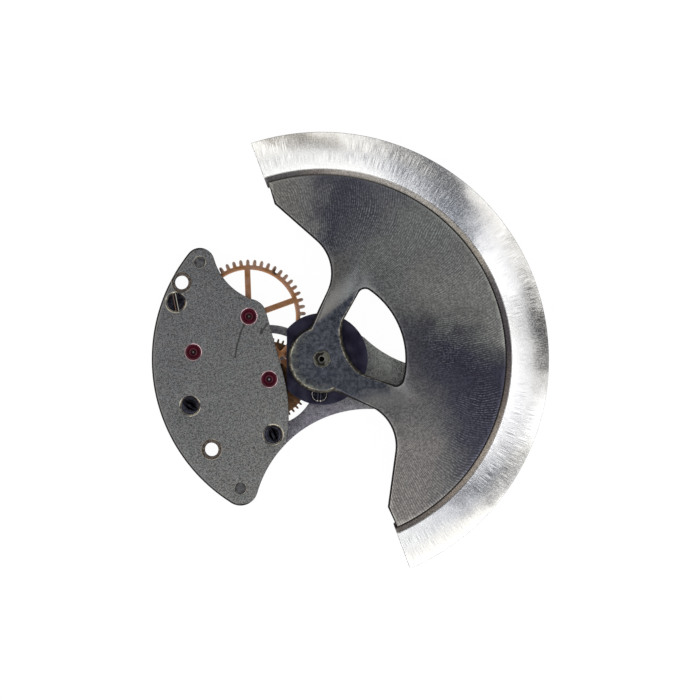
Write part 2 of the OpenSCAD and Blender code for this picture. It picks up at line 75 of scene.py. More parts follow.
def meet(p, a, q, b, side=1):
    # the point at distance a from p and b from q, left of the way from p to q, or right for side = -1
    p, q = np.array(p), np.array(q)
    d = np.linalg.norm(q - p)
    e = (q - p) / d
    x = (a * a - b * b + d * d) / (2 * d)
    return p + x * e + side * math.sqrt(a * a - x * x) * np.array((-e[1], e[0]))


def turned(points, turn):
    # points turned about the origin
    c, s = math.cos(math.radians(turn)), math.sin(math.radians(turn))
    return points @ np.array(((c, s), (-s, c)))


def levels(node):
    # lowest and highest height of a CAD node
    low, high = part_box(node)
    return low.z / mm, high.z / mm


def spanOf(node):
    # half the width of a round CAD node
    low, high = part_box(node)
    return (high.x - low.x) / 2 / mm


def middle(node):
    # centre of a CAD node's box, seen from above
    low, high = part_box(node)
    return np.array(((low.x + high.x) / 2, (low.y + high.y) / 2)) / mm


# Surfaces

def wound(loop, hole=False):
    # outlines run anticlockwise and holes clockwise, so the metal always lies on the left; doubles go
    loop = np.asarray(loop)
    loop = loop[np.linalg.norm(loop - np.roll(loop, 1, 0), axis=1) > 1e-3]
    x, y = loop.T
    area = (x * np.roll(y, -1) - y * np.roll(x, -1)).sum()
    return loop[::-1] if (area < 0) != hole else loop


def inset(loop, reach):
    # each point moves into the metal along its mitre, so that both sides move by reach,
    # which is one value or one per point
    before = loop - np.roll(loop, 1, 0)
    sides = np.stack((before, np.roll(before, -1, 0)))
    sides = sides / np.linalg.norm(sides, axis=2, keepdims=True)
    lefts = np.stack((-sides[..., 1], sides[..., 0]), -1).sum(0)
    return loop + np.reshape(reach, (-1, 1)) * 2 * lefts / np.maximum((lefts**2).sum(1), 0.6)[:, None]


def within(points, loop):
    # even-odd rule: a ray towards +X crosses the loop an odd number of times
    a, b = loop, np.roll(loop, -1, 0)
    x, y = points[:, :1], points[:, 1:]
    rise = np.where(b[:, 1] == a[:, 1], 1e-12, b[:, 1] - a[:, 1])
    crossing = a[:, 0] + (y - a[:, 1]) * (b[:, 0] - a[:, 0]) / rise
    return (((a[:, 1] > y) != (b[:, 1] > y)) & (x < crossing)).sum(1) % 2 == 1


def filled(loops, solid, seeds=np.empty((0, 2))):
    # constrained triangles over the loops and the loose seeds, kept where solid says that there is metal
    starts = np.cumsum([0] + [len(loop) for loop in loops])
    edges = np.concatenate([
        start + np.column_stack((np.arange(len(loop)), np.roll(np.arange(len(loop)), -1)))
        for start, loop in zip(starts, loops)
    ])
    points = np.concatenate([*loops, seeds])
    made = delaunay_2d_cdt(points.tolist(), edges.tolist(), [], 0, 1e-6)
    points, triangles = np.array([tuple(p) for p in made[0]]), np.array(made[2])
    corners = points[triangles]
    first, second = corners[:, 1] - corners[:, 0], corners[:, 2] - corners[:, 0]
    area = first[:, 0] * second[:, 1] - first[:, 1] * second[:, 0]
    triangles = np.where(area[:, None] < 0, triangles[:, ::-1], triangles)
    return points, triangles[solid(corners.mean(1)) & (np.abs(area) > 1e-9)]


def carried(rings, closed=False):
    # quads between rings of points; each ring is closed, and with closed the last ring joins the first
    count, around = rings.shape[:2]
    place = np.arange(count * around).reshape(count, around)
    after = np.roll(place, -1, 0)
    if not closed:
        place, after = place[:-1], after[:-1]
    quads = np.stack((place, after, np.roll(after, -1, 1), np.roll(place, -1, 1)), -1)
    return rings.reshape(-1, 3), quads.reshape(-1, 4)


def rounded(top, bottom, upper, lower=0, steps=3):
    # edge profile as (inset, height): a quarter round at the top, a straight wall, a quarter round below
    turn = np.radians(np.linspace(0, 90, steps + 1 if upper else 1))
    upperEdge = np.column_stack((upper * (1 - np.sin(turn)), top - upper * (1 - np.cos(turn))))
    turn = np.radians(np.linspace(90, 0, steps + 1 if lower else 1))
    lowerEdge = np.column_stack((lower * (1 - np.sin(turn)), bottom + lower * (1 - np.cos(turn))))
    return np.concatenate((upperEdge, lowerEdge))


def between(points, outline, holes):
    return within(points, outline) & ~np.any([within(points, hole) for hole in holes], 0)


def plate(rims, seeds=np.empty((0, 2)), lift=lambda points: 0):
    # a cap at each end, and a wall with its own profile along each loop: first the outline, then the holes
    shells = []
    for end in (0, -1):
        loops = [inset(loop, profile[end][0]) for loop, profile in rims]
        solid = functools.partial(between, outline=loops[0], holes=loops[1:])
        flat, triangles = filled(loops, solid, seeds)
        height = np.zeros(len(flat)) + rims[0][1][end][1] + lift(flat)
        shells.append((np.column_stack((flat, height)), triangles if end == 0 else triangles[:, ::-1]))
    for loop, profile in rims:
        rings = [inset(loop, reach) for reach, _ in profile]
        heights = [np.zeros(len(loop)) + z + lift(ring) for ring, (_, z) in zip(rings, profile)]
        shells.append(carried(np.stack([np.column_stack(pair) for pair in zip(rings, heights)])))
    return shells


def chamfered(top, bottom, width, lower=0.02):
    # edge profile: a flat chamfer at the top with its corners just broken, a straight wall, a chamfer below
    return (
        (1.05 * width, top), (0.9 * width, top - 0.06 * width), (0.06 * width, top - 0.9 * width),
        (0, top - 1.05 * width), (0, bottom + lower), (lower, bottom),
    )


def worn(top, bottom, width, lower=0.02):
    # edge profile: a slight slope at the top, a steeper one outside it, a straight wall, a chamfer below
    return (
        (width, top), (0.72 * width, top - 0.12 * width), (0.04 * width, top - 0.92 * width),
        (0, top - width), (0, bottom + lower), (lower, bottom),
    )


def sawn(loops, solid, top, bottom, edge):
    # a flat plate cut out where solid says so: the outline is every triangle side that is used once
    flat, triangles = filled(loops, solid)
    sides = np.concatenate((triangles[:, :2], triangles[:, 1:], triangles[:, [2, 0]]))
    _, index, uses = np.unique(np.sort(sides, 1), axis=0, return_index=True, return_counts=True)
    border = sides[index[uses == 1]]
    way = flat[border[:, 1]] - flat[border[:, 0]]
    left = np.column_stack((-way[:, 1], way[:, 0])) / np.linalg.norm(way, axis=1)[:, None]
    lean = np.zeros_like(flat)
    np.add.at(lean, border[:, 0], left)
    np.add.at(lean, border[:, 1], left)
    lean *= 2 / np.maximum((lean**2).sum(1), 0.6)[:, None]
    profile = rounded(top, bottom, edge, edge)
    rings = [np.column_stack((flat + reach * lean, np.full(len(flat), z))) for reach, z in profile]
    step = len(flat) * np.arange(len(profile) - 1)[:, None]
    a, b = border[:, 0] + step, border[:, 1] + step
    quads = np.stack((a, a + len(flat), b + len(flat), b), -1).reshape(-1, 4)
    return [(np.concatenate(rings), quads), (rings[0], triangles), (rings[-1], triangles[:, ::-1])]


def lathed(profile, centre=(0, 0), closed=False, count=96):
    # every (radius, height) of the profile goes round a standing axis; profiles run from the bottom up
    turn = np.linspace(0, 2 * math.pi, count, endpoint=False)
    radius, height = np.array(profile, float).T
    rings = np.stack((
        centre[0] + np.outer(radius, np.cos(turn)),
        centre[1] + np.outer(radius, np.sin(turn)),
        np.outer(height, np.ones(count)),
    ), -1)
    return [carried(rings[::-1], closed)]


def shaped(name, shells, smooth=35):
    # one mesh object from several shells: doubles merged, loose points gone, edges sharp past the angle
    points = np.concatenate([shell[0] for shell in shells]) * mm
    starts = np.cumsum([0] + [len(shell[0]) for shell in shells])
    faces = [face for start, shell in zip(starts, shells) for face in (start + shell[1]).tolist()]
    mesh = bpy.data.meshes.new(name)
    mesh.from_pydata(points.tolist(), [], faces)
    work = bmesh.new()
    work.from_mesh(mesh)
    bmesh.ops.remove_doubles(work, verts=work.verts, dist=5e-8)
    bmesh.ops.delete(work, geom=[v for v in work.verts if not v.link_faces], context="VERTS")
    work.to_mesh(mesh)
    work.free()
    mesh.shade_smooth()
    mesh.set_sharp_from_angle(angle=math.radians(smooth))
    piece = bpy.data.objects.new(name, mesh)
    bpy.context.scene.collection.objects.link(piece)
    return piece


def milled(piece, cutter, smooth=35):
    # takes the cutter's space out of the piece
    change = piece.modifiers.new("milled", "BOOLEAN")
    change.object, change.operation, change.solver = cutter, "DIFFERENCE", "EXACT"
    made = bpy.data.meshes.new_from_object(piece.evaluated_get(bpy.context.evaluated_depsgraph_get()))
    piece.modifiers.clear()
    piece.data = made
    bpy.data.objects.remove(cutter)
    made.set_sharp_from_angle(angle=math.radians(smooth))
    return piece


def finished(piece, material, body, slot, *replaced):
    # flat faces keep flat light beside their rounded edges; the piece gets its finish and body, and the CAD
    # nodes that it replaces are hidden; slot is not used
    weight = piece.modifiers.new("edges", "WEIGHTED_NORMAL")
    weight.keep_sharp = True
    piece.data.materials.clear()
    piece.data.materials.append(material)
    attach(piece, body)
    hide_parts(*replaced)
    return piece


# Camera, light and table

photo = {
    "pixelsPerMm": 17.46,       # scale at the rotor's level
    "axisAt": (321.8, 359.0),   # the rotor's axis in the 700 by 700 pixels
    "size": 700,
    "distance": 420,            # of the camera above that level
    "level": 1.9,
}


def lookDown():
    # straight down, as wide as the photograph at the rotor's level
    camera = bpy.data.cameras.new("camera")
    camera.lens = camera.sensor_width * photo["distance"] * photo["pixelsPerMm"] / photo["size"]
    eye = bpy.data.objects.new("camera", camera)
    half = photo["size"] / 2
    eye.location = (
        (half - photo["axisAt"][0]) / photo["pixelsPerMm"] * mm,
        (photo["axisAt"][1] - half) / photo["pixelsPerMm"] * mm,
        (photo["distance"] + photo["level"]) * mm,
    )
    bpy.context.scene.collection.objects.link(eye)
    bpy.context.scene.camera = eye


bpy.context.scene.view_settings.view_transform = "Standard"
lookDown()


# Shader nodes

def linear(colour):
    # sRGB hex to linear
    value = np.array([int(colour[i:i + 2], 16) for i in (1, 3, 5)]) / 255
    value = np.where(value <= 0.04045, value / 12.92, ((value + 0.055) / 1.055) ** 2.4)
    return (*value.tolist(), 1.0)


def addNode(tree, kind, inputs=(), operation=None, stops=(), **settings):
    # a shader node with its settings, colour stops, values and links; hands back its outputs.
    # Inputs are a list in the order of the node's sockets, or a dictionary. A Mix node mixes colours unless
    # it is told otherwise: its inputs are 0, 6 and 7 and its output 2. For vectors they are 0, 4, 5 and 1,
    # and for numbers 0, 2, 3 and 0.
    made = tree.nodes.new(f"ShaderNode{kind}")
    if kind == "Mix":
        made.data_type = "RGBA"
    if operation:
        made.operation = operation
    for key, value in settings.items():
        setattr(made, key, value)
    for index, (position, colour) in enumerate(stops):
        ramp = made.color_ramp.elements
        stop = ramp[index] if index < 2 else ramp.new(position)
        stop.position, stop.color = position, linear(colour)
    for key, value in inputs.items() if isinstance(inputs, dict) else enumerate(inputs):
        if isinstance(value, bpy.types.NodeSocket):
            tree.links.new(value, made.inputs[key])
        else:
            made.inputs[key].default_value = linear(value) if isinstance(value, str) else value
    return made.outputs


def startMaterial(name):
    material = bpy.data.materials.new(name)
    material.use_nodes = True
    material.node_tree.nodes.clear()
    return material, functools.partial(addNode, material.node_tree)


def roundAbout(add, centre=(0, 0)):
    # object coordinates in millimetres about a standing axis: the place, the place without its height,
    # (azimuth in radians, radius, height) as a vector, the azimuth and the radius
    place = add("Mapping", {
        "Vector": add("TexCoord")["Object"],
        "Scale": (1 / mm,) * 3,
        "Location": (-centre[0], -centre[1], 0),
    })[0]
    x, y, z = add("SeparateXYZ", [place])
    azimuth = add("Math", [y, x], "ARCTAN2")[0]
    flat = add("VectorMath", [place, (1, 1, 0)], "MULTIPLY")[0]
    radius = add("VectorMath", [flat], "LENGTH")["Value"]
    return place, flat, add("CombineXYZ", [azimuth, radius, z])[0], azimuth, radius


def facingUp(add):
    # how far a face looks up: 1 where it lies level, 0 on a wall
    return add("SeparateXYZ", [add("NewGeometry")["True Normal"]])[2]


def finish(add, colour, roughness, height=None, depth=0.0, **sockets):
    # the surface shader, with a bump of depth millimetres where there is a height
    inputs = {"Base Color": colour, "Roughness": roughness, "Metallic": 1.0}
    inputs |= {key.replace("_", " "): value for key, value in sockets.items()}
    if height is not None:
        inputs["Normal"] = add("Bump", {"Height": height, "Distance": depth * mm, "Strength": 1.0})[0]
    add("OutputMaterial", {"Surface": add("BsdfPrincipled", inputs)[0]})


# Light and table

studio = {
    "sky": (                # colour by the sine of the height: bright walls, and a dark place overhead
        (0.0, "#d2d4d8"), (0.25, "#ffffff"), (0.88, "#ffffff"), (0.965, "#77777c"), (1.0, "#505056"),
    ),
    "skyStrength": 2.1,
    "farShare": 0.4,        # the side beyond the table's far edge has less light
    "lamps": (              # place, size and power: soft boxes on the upper left and the lower right
        ((-260, 160, 260), 260, 0.35),
        ((300, -220, 260), 200, 0.15),
    ),
    "tableRadius": 2500,
    "tableSides": 64,
    "tableDrop": 0.01,      # below the seating plane
    "whiteShare": 0.97,     # how much of the table's white doesn't wait for light
}


def lightRoom():
    world = bpy.data.worlds.new("room")
    bpy.context.scene.world = world
    world.use_nodes = True
    world.node_tree.nodes.clear()
    add = functools.partial(addNode, world.node_tree)
    _, north, up = add("SeparateXYZ", [add("TexCoord")["Generated"]])
    sky = add("ValToRGB", [up], stops=studio["sky"])[0]
    far = add("MapRange", [north, 0.2, 0.5, 1.0, studio["farShare"]])[0]
    strength = add("Math", [far, studio["skyStrength"]], "MULTIPLY")[0]
    add("OutputWorld", {"Surface": add("Background", {"Color": sky, "Strength": strength})[0]})
    for number, (place, size, power) in enumerate(studio["lamps"]):
        lamp = bpy.data.lights.new(f"softBox{number}", "AREA")
        lamp.size, lamp.energy = size * mm, power
        box = bpy.data.objects.new(lamp.name, lamp)
        box.location = [value * mm for value in place]
        box.rotation_euler = (-box.location).to_track_quat("-Z", "Y").to_euler()
        bpy.context.scene.collection.objects.link(box)


def layTable():
    # a matt white disc just under the seating plane, white to the eye and to metal, which keeps a soft shadow
    count = studio["tableSides"]
    flat = circle((0, 0), studio["tableRadius"], count)
    disc = np.column_stack((flat, np.full(count, -studio["tableDrop"])))
    table = shaped("table", [(disc, np.arange(count)[None])])
    material, add = startMaterial("white_table")
    rays = add("LightPath")
    seen = add("Math", [rays["Is Camera Ray"], rays["Is Glossy Ray"]], "MAXIMUM")[0]
    seen = add("Math", [seen, rays["Is Transmission Ray"]], "MAXIMUM")[0]
    share = add("Math", [seen, studio["whiteShare"]], "MULTIPLY")[0]
    paint = add("BsdfDiffuse", {"Color": "#f4f4f4"})[0]
    white = add("Emission", {"Color": "#ffffff", "Strength": 1.0})[0]
    add("OutputMaterial", {"Surface": add("MixShader", [share, paint, white])[0]})
    table.data.materials.append(material)


lightRoom()
layTable()
print("camera, light and table are set")


# Places that finishes and pieces share

axis = np.zeros(2)
reductionAt, driveAt, idlerAt = [middle(f"{name}_upper_jewel") for name in ("reduction", "drive", "idler")]

bridge = {
    "outer": 9.75,              # radius of its outer arc, about the rotor's axis
    "tips": np.array(((-6.993, 5.55), (-4.662, -7.417))),   # centres of its round ends, each with a pin
    "topHollow": 3.41,          # radius of the hollow beside its upper tip
    "lowHollow": 6.67,          # and beside its lower tip
    "side": ((-10.8, -3.2), 8.9),   # centre and radius of its bulging side
    "sideFrom": 16,             # directions at which the side starts and ends
    "sideTo": -10.7,
    "jewelLand": 1.01,          # radius of its edge about the reduction wheel's jewel
    "fixings": ((-8.041, 4.393), (-6.323, -5.189)),
    "fixingRadius": 0.395,
    "fixingWidth": 0.165,       # of the counterbore round a fixing hole
    "fixingDepth": 0.12,
    "screws": ((-8.368, 3.247), (-7.554, -2.68), (-2.801, -4.341)),
    "chamfer": (0.015, 0.15),   # width on the inner side and on the outer arc
    "recessGap": 0.13,          # between a wheel's tips and the wall of its recess
}

rotor = {
    "turn": 20.5,               # direction of its middle at rest
    "outer": 13.0,
    "rimWidth": 2.1,
    "ledge": 0.34,              # gap between the rim's inner wall and the web
    "lap": 0.28,                # of the rim under the web
    "endAt": 0.53,              # distance of the rim's ends in front of the axis
    "thickness": 0.3,           # of the web
    "hub": 1.95,
    "bore": 0.43,
    "foldTurn": 107.5,          # direction square to each arm's fold, from the middle line
    "fold": (1.74, 1.4),        # distance of the fold from the axis, and the width of the slope behind it
    "back": (2.9, 1.7),         # the same along the middle line
}
webOuter = rotor["outer"] - rotor["rimWidth"] - rotor["ledge"]

bearing = {
    "radius": 2.635,
    "flat": -2.01,
    "edge": (0.035, 0.02),      # rounding above and below
    "bushHole": 0.84,
    "holeEdge": 0.02,
    "screwAt": 2.015,           # distance of its screws from the axis
    "screwTurn": -93.9,
}
bearingScrews = [polar(bearing["screwAt"], bearing["screwTurn"] + turn) for turn in (0, 180)]


# Finishes

def bySector(stops):
    # colour stops by azimuth in degrees, for a ramp that covers the whole turn
    return [((azimuth + 180) / 360, colour) for azimuth, colour in sorted(stops)]


def mottled(add, place, scale, detail, low=0.35, high=0.65):
    # a noise with so many patches per millimetre, stretched to cover 0 to 1
    noise = add("TexNoise", {"Vector": place, "Scale": scale, "Detail": detail})[0]
    return add("MapRange", [noise, low, high])[0]


webFinish = {
    "readAt": 8.0,              # distance from the axis at which the pitch and the painted reflection sectors are given
    "pitch": 0.115,             # of the tool's lines
    "straightAt": (10.0, 8.1),  # radius where the lines run along the radius, in the lower web and elsewhere
    "bow": -0.0096,             # radians by which they turn, times the square of the distance from there
    "lean": (0.1, 0.03),        # radians per mm outwards by which the painted reflection sectors turn clockwise, low and high
    "reflectionSectors": (                  # painted reflection, by azimuth
        (-80, "#888580"), (-52, "#8b8884"), (-40, "#827f7c"), (-30, "#686869"), (-20, "#4a4a54"),
        (-10, "#41414d"), (-3, "#3b3a46"), (5, "#3d3d49"), (13, "#535355"), (21, "#7a7a76"),
        (34, "#7c7c78"), (46, "#71716f"), (60, "#727471"), (68, "#646465"), (77, "#53545a"),
        (85, "#44444d"), (89, "#4a4a52"), (93, "#5c5c5f"), (97, "#706f6e"), (107, "#777570"),
    ),
    "inmost": "#555558",        # beside the window
    "shine": ("#949e9c", "#aaa49b"),    # painted highlights along the lines, on most of the web and low on it
    "upperArmSheen": "#63615e",       # painted reflection on the upper arm's slope, where no lines show
    "hub": ("#33353e", "#54575d"),
    "crescent": "#66685f",      # on the left of the hub
    "edge": ("#1e1b1c", "#4c4945"),     # painted shade on the edges, and less of it at the web's upper end
    "bareEdge": ("#7c776a", "#4e4b43"),     # round the hub: bare, broken edges, painted lighter on the slight slope as its highlight and darker on the steep one as its shade
    "wall": "#454548",
}


def turnedSteel():
    # rotor web: dark steel faced by a tool, with fine bowed lines that run almost along the radius,
    # broad sectors of blue and grey that are painted reflection, and a blotched hub without lines
    material, add = startMaterial("turned_steel")
    place, _, _, azimuth, radius = roundAbout(add)
    # painted reflection: broad sectors of blue and grey by azimuth, lighter outwards and greyer beside the
    # window
    leanLow, leanHigh = webFinish["lean"]
    lean = add("MapRange", [azimuth, -0.2, 1.5, leanLow, leanHigh])[0]
    outwards = add("Math", [radius, webFinish["readAt"]], "SUBTRACT")[0]
    sector = add("Math", [outwards, lean, azimuth], "MULTIPLY_ADD")[0]
    wander = add("TexNoise", {"Vector": place, "Scale": 0.5, "Detail": 4.0})[0]
    sector = add("Math", [wander, 0.5, sector], "MULTIPLY_ADD")[0]
    sector = add("MapRange", [sector, 0.25 - math.pi, 0.25 + math.pi])[0]
    reflectionTone = add("ValToRGB", [sector], stops=bySector(webFinish["reflectionSectors"]))[0]
    inner = add("MapRange", [radius, 4.6, 10.2, 0.84, 1.12])[0]
    reflectionTone = add("Mix", {0: 1.0, 6: reflectionTone, 7: inner}, blend_type="MULTIPLY")[2]
    inmost = add("MapRange", [radius, 7.0, 5.0, 0, 0.6])[0]
    reflectionTone = add("Mix", {0: inmost, 6: reflectionTone, 7: webFinish["inmost"]})[2]

    # a comb of lines: the sine of the azimuth, bowed with the radius and drifting with a noise
    drift = add("TexNoise", {"Vector": place, "Scale": 0.7, "Detail": 1.5})[0]
    lowerWeb = add("MapRange", [azimuth, -0.5, -0.95])[0]
    straightBelow, straightAbove = webFinish["straightAt"]
    straightAt = add("MapRange", [lowerWeb, 0, 1, straightAbove, straightBelow])[0]
    bow = add("Math", [radius, straightAt], "SUBTRACT")[0]
    bow = add("Math", [bow, bow], "MULTIPLY")[0]
    bow = add("Math", [bow, webFinish["bow"], azimuth], "MULTIPLY_ADD")[0]
    lines = 2 * math.pi * webFinish["readAt"] / webFinish["pitch"]
    phase = add("Math", [bow, lines], "MULTIPLY")[0]
    phase = add("Math", [drift, 22.0, phase], "MULTIPLY_ADD")[0]
    wave = add("Math", [phase], "SINE")[0]

    # the lines are stronger in patches, low on the web and beside the window
    patch = mottled(add, place, 0.5, 3.0, 0.4)
    innerWeb = add("MapRange", [radius, 7.8, 6.4, 0, 0.7])[0]
    upperWeb = add("MapRange", [azimuth, 0.5, 0.8])[0]
    patch = add("Math", [innerWeb, upperWeb, patch], "MULTIPLY_ADD", use_clamp=True)[0]
    patch = add("Math", [lowerWeb, 0.6, patch], "MULTIPLY_ADD", use_clamp=True)[0]
    grain = mottled(add, place, 9.0, 2.0)
    depth = add("Math", [patch, 0.22, 0.12], "MULTIPLY_ADD")[0]
    faint = add("MapRange", [grain, 0, 1, 0.45])[0]
    depth = add("Math", [depth, faint], "MULTIPLY")[0]
    streak = add("Math", [wave, depth, 0.93], "MULTIPLY_ADD")[0]
    streak = add("Math", [grain, 0.1, streak], "MULTIPLY_ADD")[0]
    lined = add("Mix", {0: 1.0, 6: reflectionTone, 7: streak}, blend_type="MULTIPLY")[2]
    # painted highlights along the lines, in the patches
    bright = add("MapRange", [wave, 0.2, 1.0, 0, 0.5])[0]
    bright = add("Math", [bright, patch], "MULTIPLY")[0]
    bright = add("Math", [bright, grain], "MULTIPLY")[0]
    shineAbove, shineBelow = webFinish["shine"]
    shine = add("Mix", {0: lowerWeb, 6: shineAbove, 7: shineBelow})[2]
    lined = add("Mix", {0: bright, 6: lined, 7: shine})[2]
    # painted reflection on the upper arm's slope, in place of the lines
    upperArmSheen = add("MapRange", [radius, 6.6, 5.4])[0]
    upperArm = add("MapRange", [azimuth, 1.2, 1.38, 0, 0.85])[0]
    upperArmSheen = add("Math", [upperArmSheen, upperArm], "MULTIPLY")[0]
    lined = add("Mix", {0: upperArmSheen, 6: lined, 7: webFinish["upperArmSheen"]})[2]

    # the hub's blotches, with a lighter crescent near its left edge
    blotch = add("TexNoise", {"Vector": place, "Scale": 5.0, "Detail": 5.0, "Roughness": 0.72})[0]
    blotch = add("MapRange", [blotch, 0.4, 0.6])[0]
    hubDark, hubLight = webFinish["hub"]
    hub = add("Mix", {0: blotch, 6: hubDark, 7: hubLight})[2]
    left = add("VectorMath", [place, (-0.94, -0.34, 0)], "DOT_PRODUCT")["Value"]
    left = add("MapRange", [left, -0.2, 1.3])[0]
    brim = add("Math", [blotch, 0.4, radius], "MULTIPLY_ADD")[0]
    brim = add("MapRange", [brim, 1.5, 2.1, 0, 0.9])[0]
    crescent = add("Math", [left, brim], "MULTIPLY")[0]
    hub = add("Mix", {0: crescent, 6: hub, 7: webFinish["crescent"]})[2]

    # past the folds the lines begin, with a softer start on the lower arm
    ramps = []
    for turn, (start, width) in (
        (-rotor["foldTurn"], rotor["fold"]), (rotor["foldTurn"], rotor["fold"]), (0, rotor["back"]),
    ):
        squareTo = (*polar(1, rotor["turn"] + turn), 0)
        beyond = add("VectorMath", [place, squareTo], "DOT_PRODUCT")["Value"]
        ramps.append(add("MapRange", [beyond, start, start + width])[0])
    lowerArm = add("MapRange", [radius, 2.7, 3.7])[0]
    lowerArm = add("Math", [lowerArm, ramps[0]], "MULTIPLY")[0]
    lowerArm = add("MapRange", [lowerArm, 0, 0.6])[0]
    onWeb = add("Math", [ramps[1], ramps[2]], "MAXIMUM")[0]
    onWeb = add("MapRange", [onWeb, 0, 0.1])[0]
    onWeb = add("Math", [onWeb, lowerArm], "MAXIMUM")[0]
    tone = add("Mix", {0: onWeb, 6: hub, 7: lined})[2]

    # edges by the steepness of the face: bare and broken round the hub, painted lighter on the slight slope
    # as its highlight, and painted shade on the other edges, less of it at the web's upper end
    slope = facingUp(add)
    steep = add("MapRange", [slope, 0.86, 0.8])[0]
    leaning = add("MapRange", [slope, 0.05, 0.2])[0]
    slight = add("MapRange", [slope, 0.95, 0.935])[0]
    broken = add("MapRange", [blotch, 0.2, 0.8, 0.15])[0]
    aside = add("Math", [azimuth, math.radians(rotor["turn"])], "SUBTRACT")[0]
    aside = add("Math", [aside], "ABSOLUTE")[0]
    byWindow = add("MapRange", [aside, 0.95, 0.85])[0]
    byHub = add("MapRange", [radius, 2.2, 2.05])[0]
    inside = add("Math", [byWindow, byHub], "MAXIMUM")[0]
    onHub = add("MapRange", [onWeb, 0.5, 0.1])[0]
    inside = add("Math", [onHub, inside], "MULTIPLY")[0]
    inside = add("Math", [inside, broken], "MULTIPLY")[0]
    belowEnd = add("MapRange", [azimuth, 1.35, 1.0])[0]
    offRim = add("MapRange", [radius, 10.3, 10.2])[0]
    edgeShadeMask = add("Math", [belowEnd, offRim], "MAXIMUM")[0]
    edgeShade, edgeLessShade = webFinish["edge"]
    outside = add("Mix", {0: edgeShadeMask, 6: edgeLessShade, 7: edgeShade})[2]
    bareSlight, bareSteep = webFinish["bareEdge"]
    slightTone = add("Mix", {0: inside, 6: outside, 7: bareSlight})[2]
    tone = add("Mix", {0: slight, 6: tone, 7: slightTone})[2]
    steepTone = add("Mix", {0: inside, 6: outside, 7: bareSteep})[2]
    steepTone = add("Mix", {0: leaning, 6: webFinish["wall"], 7: steepTone})[2]
    tone = add("Mix", {0: steep, 6: tone, 7: steepTone})[2]
    roughness = add("MapRange", [grain, 0, 1, 0.3, 0.4])[0]
    finish(add, tone, roughness, wave, 0.0004)
    return material


rimFinish = {
    "lineWidth": 0.018,
    "lineLength": 0.8,
    "readAt": 12.0,             # distance from the axis at which the painted reflection sectors are given
    "lean": (-0.1, 0.122),      # radians per mm outwards by which it turns, near 6 degrees and beyond
    "inner": (                  # painted reflection by azimuth, on the inner part of the top
        (-75, "#fbfbfa"), (-56, "#ecedec"), (-46, "#dcdde0"), (-38, "#989a9e"), (-32, "#a4a6aa"),
        (-22, "#dededf"), (-12, "#fcfcfc"), (0, "#ececea"), (9, "#dcdcda"), (20, "#fcfcfc"),
        (38, "#f6f6f6"), (45, "#aaacb0"), (54, "#888b90"), (63, "#a8aaae"), (72, "#cbccce"),
        (84, "#f0f0ee"), (106, "#ecece9"),
    ),
    # painted reflection by azimuth, towards the outer edge
    "outer": (
        (-75, "#f7f5f0"), (-49, "#f4f2ec"), (-42, "#b6b5b3"), (-35, "#b2b1ae"), (-28, "#d6d5d1"),
        (-18, "#fafaf8"), (-7, "#ecebe8"), (-1, "#cbc9c5"), (5, "#807f7d"), (10, "#706f6f"),
        (16, "#7c7a77"), (23, "#d2d0cc"), (30, "#fbf9f5"), (38, "#f0eeea"), (47, "#969696"),
        (54, "#7e7f81"), (62, "#aeadaa"), (74, "#f0efeb"), (80, "#faf8f2"), (84, "#e4e1da"),
        (88, "#b8b4ad"), (92, "#aaa7a1"), (96, "#d2cec7"), (100, "#faf8f2"),
    ),
    # painted reflection by azimuth on the ledge
    "ledge": (
        (-75, "#6b6461"), (-60, "#6d6763"), (-52, "#857c74"), (-44, "#a0968a"), (-30, "#b3a89b"),
        (-12, "#797069"), (4, "#534e51"), (24, "#676363"), (34, "#aaa396"), (60, "#b4afa6"),
        (86, "#a49d96"), (91, "#807974"), (98, "#636160"), (106, "#5a5858"),
    ),
    "cornerShade": "#26221f",         # painted shade in the corner between the ledge and the web
    # painted dark reflection on the rim's rounded edges
    "roundedEdgeShade": "#454047",
}


